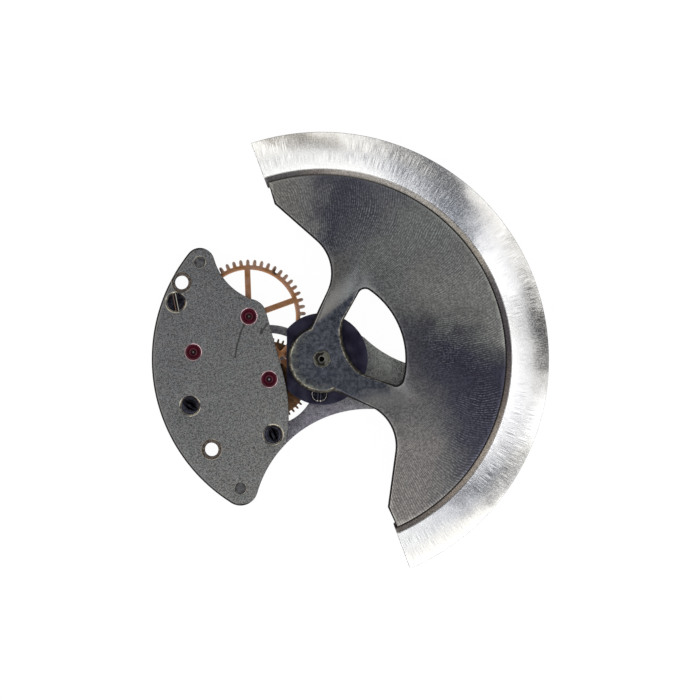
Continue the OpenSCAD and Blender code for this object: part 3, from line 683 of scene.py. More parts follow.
def brushedRim():
    # rotor rim: heavy pale metal, brushed along the radius, with grey sectors of painted reflection that
    # gather at the outer edge, and a rough ledge beside the web, painted by azimuth as its reflection, with
    # painted shade in its corner
    material, add = startMaterial("brushed_heavy_metal")
    place, _, around, azimuth, radius = roundAbout(add)
    slope = facingUp(add)
    wall = add("MapRange", [slope, 0.3, 0.1])[0]

    # brush lines are a noise drawn out along the radius, and round the rim on its walls
    fine, long, at = rimFinish["lineWidth"], rimFinish["lineLength"], rimFinish["readAt"]
    onTop, onWall = (at / fine, 1 / long, 0), (at / long, 0, 1 / fine)
    stretch = add("Mix", {0: wall, 4: onTop, 5: onWall}, data_type="VECTOR")[1]
    stretched = add("VectorMath", [around, stretch], "MULTIPLY")[0]
    brush = add("TexNoise", {"Vector": stretched, "Scale": 1.0, "Detail": 1.0})[0]
    # painted reflection: grey sectors by azimuth that lean outwards, more of them towards the outer edge
    outwards = add("Math", [radius, at], "SUBTRACT")[0]
    beside = add("Math", [azimuth, 0.1], "SUBTRACT")[0]
    beside = add("Math", [beside], "ABSOLUTE")[0]
    near, beyond = rimFinish["lean"]
    lean = add("MapRange", [beside, 0.2, 0.5, -near, -beyond])[0]
    sector = add("Math", [outwards, lean, azimuth], "MULTIPLY_ADD")[0]
    drift = add("TexNoise", {"Vector": place, "Scale": 0.8, "Detail": 4.0})[0]
    sector = add("Math", [drift, 0.3, sector], "MULTIPLY_ADD")[0]
    sector = add("Math", [brush, 0.4, sector], "MULTIPLY_ADD")[0]
    sector = add("MapRange", [sector, 0.35 - math.pi, 0.35 + math.pi])[0]
    inner = add("ValToRGB", [sector], stops=bySector(rimFinish["inner"]))[0]
    outer = add("ValToRGB", [sector], stops=bySector(rimFinish["outer"]))[0]
    reach = add("Math", [brush, 2.0, radius], "MULTIPLY_ADD")[0]
    edgewards = add("MapRange", [reach, 12.75, 13.4])[0]
    tone = add("Mix", {0: edgewards, 6: inner, 7: outer})[2]
    mottle = add("TexNoise", {"Vector": place, "Scale": 13.0, "Detail": 3.0})[0]
    fleck = add("Math", [brush, mottle], "ADD")[0]
    fleck = add("MapRange", [fleck, 0.8, 1.2, 1.7, 0.6])[0]
    tone = add("Gamma", {"Color": tone, "Gamma": fleck})[0]

    # the ledge: painted reflection by azimuth, speckled, with painted shade in its corner by the web
    turn = add("MapRange", [azimuth, -math.pi, math.pi])[0]
    ledge = add("ValToRGB", [turn], stops=bySector(rimFinish["ledge"]))[0]
    speck = add("MapRange", [mottle, 0.35, 0.65, 0.7, 1.35])[0]
    ledge = add("Mix", {0: 1.0, 6: ledge, 7: speck}, blend_type="MULTIPLY")[2]
    offCorner = add("MapRange", [radius, 10.57, 10.63])[0]
    upperEnd = add("MapRange", [azimuth, 1.0, 1.35, 0, 0.6])[0]
    unshaded = add("Math", [offCorner, upperEnd], "MAXIMUM")[0]
    ledge = add("Mix", {0: unshaded, 6: rimFinish["cornerShade"], 7: ledge})[2]
    onRim = add("MapRange", [radius, 10.86, 10.9])[0]
    tone = add("Mix", {0: onRim, 6: ledge, 7: tone})[2]
    # painted dark reflection on the rounded edges, in broken stretches
    edge = add("MapRange", [slope, 0.95, 0.9])[0]
    edge = add("Math", [edge, wall], "SUBTRACT", use_clamp=True)[0]
    broken = add("MapRange", [mottle, 0.35, 0.6, 0.3])[0]
    edge = add("Math", [edge, broken], "MULTIPLY")[0]
    tone = add("Mix", {0: edge, 6: tone, 7: rimFinish["roundedEdgeShade"]})[2]
    roughness = add("MapRange", [brush, 0.3, 0.7, 0.34, 0.5])[0]
    finish(add, tone, roughness, brush, 0.0008)
    return material


bridgeFinish = {
    "grit": 0.053,
    "upper": ("#3f3f40", "#68686a"),    # darker and lighter grains, at the upper left and at the lower right
    "lower": ("#454545", "#747473"),
    "hues": ("#fbfffe", "#fffcfa"),
    "brass": ("#373230", "#6a6058"),    # bare in the counterbores
    "bevel": ("#151416", "#5f5e5c"),    # painted shade on the bevels, and a painted highlight on the lip along the outer arc
    "rings": [                          # painted highlights in rings round the holes: centre, inner and outer radius, dull and bright colour
        *[(centre, 0.5, 0.63, "#4c4c4f", "#b5af9f") for centre in bridge["screws"]],
        *[(centre, 0.44, 0.5, "#7c5c64", "#d4b2b8") for centre in (reductionAt, driveAt, idlerAt)],
        *[(centre, 0.32, 0.36, "#3a3836", "#a39c8c") for centre in bridge["tips"]],
        *[(centre, 0.58, 0.615, "#474340", "#8c867a") for centre in bridge["fixings"]],
    ],
    "scratches": (
        ((-4.44, 1.96), (-4.66, 1.5)), ((-4.66, 1.5), (-4.85, 0.8)), ((-4.85, 0.8), (-4.98, 0.08)),
        ((-3.13, 2.02), (-3.5, 1.46)), ((-3.5, 1.46), (-3.47, 1.77)),
    ),
    "scratch": "#2f302e",
    "scratchWidth": 0.052,
}


def frostedNickel():
    # bridge: nickel-plated brass frosted by fine grit, with polished bevels painted dark as their shade, a
    # painted highlight on the outer lip, painted highlights in rings round the holes, bare brass in the
    # counterbores and a few tool marks by the jewel
    material, add = startMaterial("frosted_nickel")
    place, flat, *_ = roundAbout(add)
    fine = add("TexNoise", {"Vector": place, "Scale": 1 / bridgeFinish["grit"], "Detail": 2.0})[0]
    coarse = add("TexNoise", {"Vector": place, "Scale": 0.4 / bridgeFinish["grit"], "Detail": 3.0})[0]
    grit = add("Math", [coarse, 0.5, fine], "MULTIPLY_ADD")[0]
    grit = add("MapRange", [grit, 0.65, 0.85])[0]
    cloud = add("TexNoise", {"Vector": place, "Scale": 0.4, "Detail": 3.0})[0]
    down = add("VectorMath", [place, (0.5, -0.6, 0)], "DOT_PRODUCT")["Value"]
    down = add("Math", [cloud, 4.0, down], "MULTIPLY_ADD")[0]
    down = add("MapRange", [down, -2.5, 3.5])[0]
    shades = []
    for part in ("upper", "lower", "brass"):
        dark, light = bridgeFinish[part]
        shades.append(add("Mix", {0: grit, 6: dark, 7: light})[2])
    upper, lower, brass = shades
    tone = add("Mix", {0: down, 6: upper, 7: lower})[2]
    green, rose = bridgeFinish["hues"]
    hue = add("Mix", {0: mottled(add, place, 3.0, 3.0), 6: green, 7: rose})[2]
    tone = add("Mix", {0: 1.0, 6: tone, 7: hue}, blend_type="MULTIPLY")[2]
    height = add("SeparateXYZ", [place])[2]
    onTop = add("MapRange", [height, 1.5, 1.55])[0]
    for centre in bridge["fixings"]:
        away = add("VectorMath", [flat, (*centre, 0)], "DISTANCE")["Value"]
        away = add("Math", [cloud, 0.14, away], "MULTIPLY_ADD")[0]
        sunk = add("MapRange", [away, 0.67, 0.62])[0]
        sunk = add("Math", [sunk, onTop], "MULTIPLY")[0]
        tone = add("Mix", {0: sunk, 6: tone, 7: brass})[2]
    for start, end in bridgeFinish["scratches"]:
        # distance to the line from start to end, a little ragged
        start, way = np.array((*start, 0)), np.array((*end, 0)) - (*start, 0)
        offset = add("VectorMath", [flat, tuple(start)], "SUBTRACT")[0]
        along = add("VectorMath", [offset, tuple(way / (way @ way))], "DOT_PRODUCT")["Value"]
        along = add("Clamp", [along])[0]
        foot = add("VectorMath", {0: tuple(way), "Scale": along}, "SCALE")[0]
        away = add("VectorMath", [offset, foot], "DISTANCE")["Value"]
        away = add("Math", [fine, 0.08, away], "MULTIPLY_ADD")[0]
        width = bridgeFinish["scratchWidth"]
        mark = add("MapRange", [away, width + 0.07, width + 0.01, 0, 0.85])[0]
        tone = add("Mix", {0: mark, 6: tone, 7: bridgeFinish["scratch"]})[2]
    # painted shade on the bevels, with a painted highlight on the lip along the outer arc
    slope = facingUp(add)
    bevel = add("MapRange", [slope, 0.98, 0.9])[0]
    leaning = add("MapRange", [slope, 0.05, 0.2])[0]
    bevel = add("Math", [bevel, leaning], "MULTIPLY")[0]
    lip = add("MapRange", [height, 1.67, 1.69])[0]
    outside = add("VectorMath", [flat], "LENGTH")["Value"]
    outside = add("MapRange", [outside, 9.5, 9.6])[0]
    lip = add("Math", [lip, outside], "MULTIPLY")[0]
    bevelShade, lipHighlight = bridgeFinish["bevel"]
    edge = add("Mix", {0: lip, 6: bevelShade, 7: lipHighlight})[2]
    tone = add("Mix", {0: bevel, 6: tone, 7: edge})[2]
    broken = mottled(add, place, 2.2, 3.0, 0.38, 0.62)
    # broken rings of painted highlight round the holes, on the top face
    for centre, low, high, dull, bright in bridgeFinish["rings"]:
        away = add("VectorMath", [flat, (*centre, 0)], "DISTANCE")["Value"]
        inRing = add("MapRange", [away, high, high - 0.02])[0]
        offCentre = add("MapRange", [away, low - 0.02, low])[0]
        inRing = add("Math", [inRing, offCentre], "MULTIPLY")[0]
        inRing = add("Math", [inRing, onTop], "MULTIPLY")[0]
        light = add("Mix", {0: broken, 6: dull, 7: bright})[2]
        tone = add("Mix", {0: inRing, 6: tone, 7: light})[2]
    roughness = add("MapRange", [grit, 0, 1, 0.5, 0.62])[0]
    roughness = add("Mix", {0: bevel, 2: roughness, 3: 0.45}, data_type="FLOAT")[0]
    finish(add, tone, roughness, grit, 0.006)
    return material


plateFinish = {
    "grains": (18.0, 6.0),      # fine and coarse ones per millimetre
    "grey": ("#535553", "#959793"),
    "violet": ("#49474e", "#827f87"),
}


def grainedNickel():
    # lower plate: the same plating with a coarser grain, darker and a little violet with age
    material, add = startMaterial("grained_nickel")
    place = roundAbout(add)[0]
    fineGrains, coarseGrains = plateFinish["grains"]
    fine = add("TexNoise", {"Vector": place, "Scale": fineGrains, "Detail": 2.0})[0]
    coarse = add("TexNoise", {"Vector": place, "Scale": coarseGrains, "Detail": 3.0})[0]
    grit = add("Math", [coarse, 0.6, fine], "MULTIPLY_ADD")[0]
    grit = add("MapRange", [grit, 0.58, 1.02])[0]
    cloud = add("TexNoise", {"Vector": place, "Scale": 0.6, "Detail": 3.0})[0]
    near = add("VectorMath", [place, (-0.5, -0.5, 0)], "DOT_PRODUCT")["Value"]
    cloud = add("Math", [cloud, 4.0, near], "MULTIPLY_ADD")[0]
    cloud = add("MapRange", [cloud, 1.0, 3.2])[0]
    shades = []
    for part in ("grey", "violet"):
        dark, light = plateFinish[part]
        shades.append(add("Mix", {0: grit, 6: dark, 7: light})[2])
    tone = add("Mix", {0: cloud, 6: shades[0], 7: shades[1]})[2]
    finish(add, tone, 0.55, grit, 0.008)
    return material


toolMarks = {"perMm": 18.0, "depth": 0.0015}


def cloudedMetal(name, first, second, size, roughness):
    # a turned or stamped small part in bare metal, with a faint cloudy film and fine tool marks
    material, add = startMaterial(name)
    place = roundAbout(add)[0]
    cloud = mottled(add, place, 1 / size, 4.0)
    tone = add("Mix", {0: cloud, 6: first, 7: second})[2]
    rough = add("MapRange", [cloud, 0, 1, roughness, roughness + 0.14])[0]
    marks = add("TexNoise", {"Vector": place, "Scale": toolMarks["perMm"], "Detail": 2.0})[0]
    finish(add, tone, rough, marks, toolMarks["depth"])
    return material


screwFinish = {
    "film": ("#1b1b22", "#2f2f37"),
    "bare": ("#4a3c32", "#747068"),     # bare steel edges: painted shade where they face the upper right, painted highlight where they face the lower left
    "bareByHub": "#98948c",             # on the bearing plate's screw
}


def screwSteel():
    # blued screws: almost black flats, bare steel on the rounded rim and along the slot, painted lit towards
    # the lower left and shaded towards the upper right
    material, add = startMaterial("blued_screw_steel")
    place, flat, *_ = roundAbout(add)
    film = mottled(add, place, 6.0, 4.0)
    filmDark, filmLight = screwFinish["film"]
    blue = add("Mix", {0: film, 6: filmDark, 7: filmLight})[2]
    normal = add("NewGeometry")["True Normal"]
    slope = add("SeparateXYZ", [normal])[2]
    bare = add("MapRange", [slope, 0.97, 0.92])[0]
    # painted light on the bare steel: lit where it faces the lower left, shaded where it faces the upper
    # right
    towardLight = add("VectorMath", [normal, (-0.6, -0.8, 0)], "DOT_PRODUCT")["Value"]
    towardLight = add("MapRange", [towardLight, -0.2, 0.2])[0]
    bareShaded, bareLit = screwFinish["bare"]
    steel = add("Mix", {0: towardLight, 6: bareShaded, 7: bareLit})[2]
    away = add("VectorMath", [flat, (*bearingScrews[0], 0)], "DISTANCE")["Value"]
    brim = add("MapRange", [away, 0.34, 0.38])[0]
    bare = add("Math", [bare, brim], "MULTIPLY")[0]
    near = add("MapRange", [away, 0.6, 0.5])[0]
    steel = add("Mix", {0: near, 6: steel, 7: screwFinish["bareByHub"]})[2]
    tone = add("Mix", {0: bare, 6: blue, 7: steel})[2]
    finish(add, tone, add("MapRange", [film, 0, 1, 0.16, 0.34])[0], film, 0.001)
    return material


rivetFinish = {
    "rings": (                  # by distance from the axis
        (0.12, "#4c4b48"), (0.21, "#4e4d49"), (0.25, "#24221f"), (0.36, "#292624"), (0.41, "#55554c"),
        (0.44, "#7a796c"), (0.47, "#4c4c48"), (0.52, "#3a3c42"), (0.6, "#3a3c42"),
    ),
    "gleam": "#6a6a60",         # painted highlight on the right
    # painted shade in the centre hole
    "hole": "#0c0c09",
}


def rivetedEnd():
    # rotor axle: its end is spread over the hub, with light rings either side of a darker groove, a painted
    # highlight on the right and painted shade in its centre hole
    material, add = startMaterial("riveted_axle_steel")
    place, *_, radius = roundAbout(add)
    grain = add("TexNoise", {"Vector": place, "Scale": 5.5, "Detail": 4.0})[0]
    shift = add("MapRange", [grain, 0.3, 0.7, -0.06, 0.06])[0]
    ragged = add("Math", [radius, shift], "ADD")[0]
    tone = add("ValToRGB", [ragged], stops=rivetFinish["rings"])[0]
    # a painted highlight on the right of the end
    right = add("VectorMath", [place, (0.95, 0.3, 0)], "DOT_PRODUCT")["Value"]
    right = add("Math", [grain, 0.5, right], "MULTIPLY_ADD")[0]
    right = add("MapRange", [right, 0.36, 0.46])[0]
    onEnd = add("MapRange", [radius, 0.42, 0.36])[0]
    offHole = add("MapRange", [ragged, 0.15, 0.18])[0]
    right = add("Math", [right, onEnd], "MULTIPLY")[0]
    right = add("Math", [right, offHole], "MULTIPLY")[0]
    tone = add("Mix", {0: right, 6: tone, 7: rivetFinish["gleam"]})[2]
    # painted shade in the centre hole
    hole = add("MapRange", [radius, 0.17, 0.14])[0]
    tone = add("Mix", {0: hole, 6: tone, 7: rivetFinish["hole"]})[2]
    finish(add, tone, 0.36, grain, 0.006)
    return material


copperFinish = {
    "gilt": ("#a5764f", "#8a6a58"),
    "teeth": "#8a7468",
    "stain": "#3c3028",
    "stainAt": (1.53, 2.57),    # from the wheel's centre
}


def giltCopper():
    # reduction wheel: copper coloured gilding, dulled to brown on the teeth, with a dark stain on the rim
    material, add = startMaterial("gilt_wheel_copper")
    place, flat, *_, radius = roundAbout(add, tuple(reductionAt))
    cloud = mottled(add, place, 1.6, 4.0)
    giltLight, giltDark = copperFinish["gilt"]
    gilt = add("Mix", {0: cloud, 6: giltLight, 7: giltDark})[2]
    ragged = add("Math", [cloud, 0.08, radius], "MULTIPLY_ADD")[0]
    onTeeth = add("MapRange", [ragged, 2.96, 3.12])[0]
    tone = add("Mix", {0: onTeeth, 6: gilt, 7: copperFinish["teeth"]})[2]
    away = add("VectorMath", [flat, (*copperFinish["stainAt"], 0)], "DISTANCE")["Value"]
    stain = add("MapRange", [away, 0.24, 0.1])[0]
    tone = add("Mix", {0: stain, 6: tone, 7: copperFinish["stain"]})[2]
    marks = add("TexNoise", {"Vector": place, "Scale": toolMarks["perMm"], "Detail": 2.0})[0]
    finish(add, tone, add("MapRange", [cloud, 0, 1, 0.28, 0.42])[0], marks, toolMarks["depth"])
    return material


rubyFinish = {
    "face": ("#200209", "#320210"),
    "rim": "#340812",
}


def ruby():
    # synthetic ruby, ground and polished: dark wine red, lighter towards its rim
    material, add = startMaterial("polished_ruby")
    cloud = mottled(add, roundAbout(add)[0], 4.0, 2.0)
    dark, light = rubyFinish["face"]
    tone = add("Mix", {0: cloud, 6: dark, 7: light})[2]
    slope = facingUp(add)
    onRim = add("MapRange", [slope, 0.98, 0.95])[0]
    tone = add("Mix", {0: onRim, 6: tone, 7: rubyFinish["rim"]})[2]
    finish(add, tone, 0.09, Metallic=0.0, IOR=1.77, Specular_IOR_Level=0.09)
    return material


arborFinish = {
    "film": ("#8a8a86", "#6c6a66"),
    "ends": (                   # the pivots' ends in the upper jewels: where, dark rim and bright middle, the middle a painted highlight
        (reductionAt, "#3a2a26", "#a08f80"), (driveAt, "#240f14", "#c0aeb2"), (idlerAt, "#2a141a", "#a89894"),
    ),
}


def pivotSteel():
    # pinions, arbors, studs and pillars: polished steel, with pivots' ends dark round a bright dot that is a
    # painted highlight
    material, add = startMaterial("polished_arbor_steel")
    place, flat, *_ = roundAbout(add)
    cloud = mottled(add, place, 10.0, 4.0)
    light, dark = arborFinish["film"]
    tone = add("Mix", {0: cloud, 6: light, 7: dark})[2]
    high = add("MapRange", [add("SeparateXYZ", [place])[2], 1.5, 1.55])[0]
    for centre, brim, bright in arborFinish["ends"]:
        away = add("VectorMath", [flat, (*centre, 0)], "DISTANCE")["Value"]
        near = add("MapRange", [away, 0.105, 0.103])[0]
        near = add("Math", [near, high], "MULTIPLY")[0]
        # the bright dot in the middle of each end is a painted highlight
        dot = add("MapRange", [away, 0.06, 0.04])[0]
        end = add("Mix", {0: dot, 6: brim, 7: bright})[2]
        tone = add("Mix", {0: near, 6: tone, 7: end})[2]
    finish(add, tone, add("MapRange", [cloud, 0, 1, 0.15, 0.29])[0], cloud, 0.001)
    return material


materials = {
    "web": turnedSteel(),
    "rim": brushedRim(),
    "bridge": frostedNickel(),
    "plate": grainedNickel(),
    "black": cloudedMetal("blackened_steel", "#22212e", "#2e2d39", 0.8, 0.3),
    "screw": screwSteel(),
    "pin": cloudedMetal("turned_pin_steel", "#48484a", "#5a5a5b", 0.2, 0.3),
    "ruby": ruby(),
    "copper": giltCopper(),
    # dark brown brass of the reverser wheels
    "brass": cloudedMetal("dark_brass", "#70543c", "#4c3828", 0.25, 0.28),
    "pawl": cloudedMetal("gilt_pawl_steel", "#a8744e", "#8c6448", 0.5, 0.25),
    "bronze": cloudedMetal("bush_bronze", "#a07c40", "#7c6034", 0.5, 0.25),
    "rivet": rivetedEnd(),
    "arbor": pivotSteel(),
}
print("materials are made")


# Rotor

web = {
    "corner": (0.573, 9.25),    # of one side, about the rotor's own middle line, where the hollow begins
    "knee": (2.961, 4.798),     # where the hollow's two sides would meet
    "kneeHalf": 37.1,           # half the angle between them
    "notch": (2.024, 87.6),     # distance and direction of the arm's foot at the hub
    "bite": 2.48,               # radius of the hollow
    "setIn": 0.14,              # of the web's ends behind the rim's
    "window": 4.78,             # radius of the window's outer arc
    "windowHalf": 40.35,
    "windowRound": 0.42,
    "windowInner": (4.72, 3.26, 29.4),  # of its inner edge: the centre's distance, radius and half angle
    "edge": (0.2, 0.11, 0.05),  # width of the worn edge at the hub, at the arms and beside the rim
    "grid": 0.24,               # step of the loose points that let the plate bend
    "gridReach": 11,            # half the grid's width
    "gridEdge": 0.18,           # how far it stays inside the web's outline
}


def webSide(side):
    # end, hollow and arm of the web on one side, from the rim to the hub
    corner, notch, knee = np.array(web["corner"]), polar(*web["notch"]), np.array(web["knee"])
    toCorner, toNotch = heading(knee, corner), heading(knee, notch)
    half = math.radians(web["kneeHalf"])
    centre = knee + polar(web["bite"] / math.cos(half), (toCorner + toNotch + 360) / 2)
    first, last = knee + polar(web["bite"] * math.tan(half), np.array((toCorner, toNotch)))
    hollow = arc(centre, web["bite"], heading(centre, first), heading(centre, last), 28)
    start = rotor["endAt"] + web["setIn"]
    points = np.concatenate(([(start, math.sqrt(webOuter**2 - start**2)), corner], hollow, [notch]))
    return points * (1, side)


def webOutline():
    # rim arc, one side, hub and the other side, about the rotor's own middle line
    upper, lower = webSide(1), webSide(-1)
    start, hubStart = heading(axis, upper[0]), heading(axis, upper[-1])
    hub = arc(axis, rotor["hub"], hubStart + 2, 358 - hubStart, 60)
    return np.concatenate((arc(axis, webOuter, -start, start, 160)[1:-1], upper, hub, lower[::-1]))


def webWindow():
    # a hollow inner edge, two radial sides, rounded corners and an outer arc about the axis
    outer, half, corner = web["window"], web["windowHalf"], web["windowRound"]
    reach = outer - corner
    turn = half - math.degrees(math.asin(corner / reach))
    bend = arc(polar(reach, turn), corner, half + 90, turn, 12)
    away, inner, span = web["windowInner"]
    return np.concatenate((
        arc((away, 0), inner, 180 - span, 180 + span, 28), bend * (1, -1),
        arc(axis, outer, 1 - turn, turn - 1, 36), bend[::-1],
    ))


def armRise(points):
    # share of the web's rise: 0 at the hub, up behind the two folds beside it, and 1 beyond the window;
    # with t from 0 to 1 over a ramp it is t plus t squared less t cubed, straight at first and then levelling
    u, v = turned(points, -rotor["turn"]).T
    squareTo = polar(1, rotor["foldTurn"])
    aside = u * squareTo[0] + np.abs(v) * squareTo[1]
    (foldAt, foldWidth), (backAt, backWidth) = rotor["fold"], rotor["back"]
    ramps = np.clip(((aside - foldAt) / foldWidth, (u - backAt) / backWidth), 0, 1)
    return (ramps * (1 + ramps * (1 - ramps))).max(0)


def makeWeb():
    # the hub's flat plate, lifted by its rise towards the rim
    bottom, top = levels("rotor_web")
    rise = top - bottom - rotor["thickness"]
    outline = wound(turned(webOutline(), rotor["turn"]))
    window = wound(turned(webWindow(), rotor["turn"]), hole=True)
    bore = wound(circle(axis, rotor["bore"]), hole=True)
    byHub, byArms, byRim = web["edge"]
    reaches = (rotor["hub"] + 0.1, rotor["hub"] + 0.5, webOuter - 0.2, webOuter - 0.05)
    rims = []
    for loop in (outline, window):
        width = np.interp(np.linalg.norm(loop, axis=1), reaches, (byHub, byArms, byArms, byRim))
        rims.append((loop, worn(top - rise, bottom, width)))
    rims.append((bore, rounded(top - rise, bottom, 0.01)))
    row = np.arange(-web["gridReach"], web["gridReach"], web["grid"])
    grid = np.stack(np.meshgrid(row, row), -1).reshape(-1, 2)
    clear = within(grid, inset(outline, web["gridEdge"])) & ~within(grid, inset(window, web["gridEdge"]))
    clear &= np.linalg.norm(grid, axis=1) > rotor["bore"] + 0.15
    shells = plate(rims, grid[clear], lambda points: rise * armRise(points))
    finished(shaped("rotor_web_plate", shells, 40), materials["web"], "rotor", "web_steel", "rotor_web")


rim = {
    "outerRound": 0.05,
    "innerRound": 0.03,
    "play": 0.005,          # how far its outer wall stays inside the rotor's full radius
    "steps": 421,           # cross-sections along the ring
    "endShrink": 0.97,      # of the cross-section in each end plane, which rounds the ends
    "endRound": 0.03,       # how far the full cross-sections stay behind the end planes
}


def makeRim():
    # cross-section (radius, height) swept between the two end planes, at which it shrinks and rounds the ends
    bottom, top = levels("rotor_rim")
    lapTop = levels("rotor_web")[1] - rotor["thickness"]
    outer = rotor["outer"] - rim["play"]
    inner = rotor["outer"] - rotor["rimWidth"]
    ledge = webOuter - rotor["lap"]
    big, small, count = rim["outerRound"], rim["innerRound"], rim["steps"]
    quarter = np.radians(np.linspace(0, 90, 4))
    bend = np.column_stack((np.sin(quarter), np.cos(quarter)))
    section = np.concatenate((
        ((ledge, bottom), (outer - big, bottom)),
        (outer - big, bottom + big) + big * bend * (1, -1),
        ((outer - big, top - big) + big * bend)[::-1],
        ((inner + small, top - small) + small * bend * (-1, 1)),
        ((inner, lapTop), (ledge, lapTop)),
    ))
    centre = section.mean(0)
    steps = np.concatenate(([-1, -1], np.linspace(-1, 1, count), [1, 1]))
    shrink = np.concatenate(([0.0, rim["endShrink"]], np.ones(count), [rim["endShrink"], 0.0]))
    setBack = np.concatenate(([0.0, 0.0], np.full(count, rim["endRound"]), [0.0, 0.0]))
    profile = centre + (section - centre) * shrink[:, None, None]
    half = np.arccos((rotor["endAt"] + setBack[:, None]) / profile[..., 0])
    turn = np.radians(rotor["turn"]) + steps[:, None] * half
    rings = np.stack((profile[..., 0] * np.cos(turn), profile[..., 0] * np.sin(turn), profile[..., 1]), -1)
    piece = shaped("rotor_rim_ring", [carried(rings[::-1])])
    finished(piece, materials["rim"], "rotor", "rim_metal", "rotor_rim")


axle = {
    "pivot": 0.15,
    "arbor": 0.4,
    "collar": (0.63, 0.28),     # radius and height, under the bush
    "journal": 0.42,
    "flange": 0.8,              # under the hub
    "break": 0.02,              # of sharp corners
    "gap": 0.03,                # to the bush and to the lower plate
    "end": (                    # (radius, depth) of the riveted end, over its groove and into its hole
        (0.52, 0.03), (0.505, 0.01), (0.48, 0), (0.44, 0), (0.42, 0.035), (0.26, 0.035), (0.235, 0.01),
        (0.2, 0.01), (0.15, 0.04), (0.13, 0.2), (0, 0.2),
    ),
}


def makeAxle():
    # pivot, arbor, collar, journal, flange and the riveted end with its turned groove and centre hole
    bottom, top = levels("rotor_axle")
    hub = levels("rotor_web")[0]
    bushBottom, bushTop = levels("rotor_upper_bush")
    gap, small = axle["gap"], axle["break"]
    pivot, arbor, journal, flange = axle["pivot"], axle["arbor"], axle["journal"], axle["flange"]
    arborFoot = levels("lower_plate")[1] + gap
    collar, collarHeight = axle["collar"]
    collarTop, flangeFoot = bushBottom - gap, bushTop + gap
    hubTop = hub + rotor["thickness"]
    profile = [
        (0, bottom), (pivot - small, bottom), (pivot, bottom + small), (pivot, arborFoot),
        (arbor, arborFoot), (arbor, collarTop - collarHeight), (collar, collarTop - collarHeight),
        (collar, collarTop), (journal, collarTop), (journal, flangeFoot), (flange - small, flangeFoot),
        (flange, flangeFoot + small), (flange, hub), (journal, hub), (journal, hubTop),
        (axle["end"][0][0], hubTop),
    ]
    profile += [(radius, top - depth) for radius, depth in axle["end"]]
    piece = shaped("rotor_axle_turned", lathed(profile), 30)
    finished(piece, materials["rivet"], "rotor", "arbor_steel", "rotor_axle")


makeWeb()
makeRim()
makeAxle()
print("rotor is made")


# Bridge and plates

screws = {
    "bridge": {
        "slots": (-79, -34, -66),
        "head": 0.53,
        "shank": 0.24,
        "hole": (0.54, 0.27),       # radius round the head and round the shank
        "proud": 0.05,              # how far the head stands over the plate
        "flare": (0.075, 0.045),    # width and depth of the hole's bevel
    },
    "bearing": {
        "slots": (bearing["screwTurn"],) * 2,
        "head": 0.44,
        "shank": 0.19,
        "hole": (0.46, 0.22),
        "proud": 0.04,
        "flare": (0.03, 0.03),
    },
    "height": 0.25,                 # of the head
    "slot": 0.11,
    "lip": 0.042,                   # width of the worn lip beside the slot
    "round": 0.035,
    "break": (0.04, 0.02),          # chamfers at the foot and under the head
    "play": 0.01,                   # round the shank in the lower plate
    "beyond": 0.1,                  # how far the slot's cutter reaches past the head
}

pins = {
    "radius": 0.32,
    "break": 0.03,                  # chamfers at both ends
    "holeEdge": 0.03,
}

jewels = {
    "radius": 0.45,
    "bore": 0.12,
    "break": 0.03,
    "holeEdge": 0.045,
    "face": (                       # (radius, depth) from its rim over the flat face into the oil sink
        (0.45, 0.045), (0.435, 0.012), (0.41, 0), (0.22, 0), (0.2, 0.006), (0.16, 0.04), (0.12, 0.13),
    ),
}


def lowHollow():
    # centre of the hollow that runs from the bridge's lower tip to the foot
    tip = bridge["tips"][1]
    reach = bridge["outer"] - np.linalg.norm(tip) + bridge["lowHollow"]
    return meet(tip, reach, lowerPlate["foot"], lowerPlate["footRadius"] + bridge["lowHollow"], -1)


def bridgeOutline():
    # upper tip, hollow, land round the reduction jewel, bulging side, hollow, lower tip and outer arc
    first, second = bridge["tips"]
    firstRound, secondRound = bridge["outer"] - np.linalg.norm(bridge["tips"], axis=1)
    high, low = bridge["topHollow"], bridge["lowHollow"]
    top = meet(first, firstRound + high, reductionAt, bridge["jewelLand"] + high)
    bottom = lowHollow()
    sideCentre, sideRadius = bridge["side"]
    sideFoot = sideCentre + polar(sideRadius, bridge["sideTo"])
    return np.concatenate((
        arc(first, firstRound, heading(axis, first), heading(first, top), 14),
        arc(top, high, heading(top, first), heading(top, reductionAt), 40),
        arc(reductionAt, bridge["jewelLand"], heading(reductionAt, top), bridge["sideFrom"], 16),
        arc(sideCentre, sideRadius, bridge["sideFrom"], bridge["sideTo"], 40),
        arc(bottom, low, heading(bottom, sideFoot), heading(bottom, second), 40),
        arc(second, secondRound, heading(second, bottom), heading(axis, second), 14),
        arc(axis, bridge["outer"], heading(axis, second) + 360, heading(axis, first), 100),
    ))


def bored(places, radius, profile, count=96):
    # round holes with one edge profile
    return [(wound(circle(place, radius, count), hole=True), profile) for place in places]


def screwHoles(places, kind, top, bottom):
    # holes with a bevelled counterbore for the head; the profile starts at the shank's wall
    headHole, shankHole = kind["hole"]
    flareWidth, flareDepth = kind["flare"]
    wide = headHole - shankHole
    step = top + kind["proud"] - screws["height"]
    profile = ((wide + flareWidth, top), (wide, top - flareDepth), (wide, step), (0, step), (0, bottom))
    return bored(places, shankHole, profile)


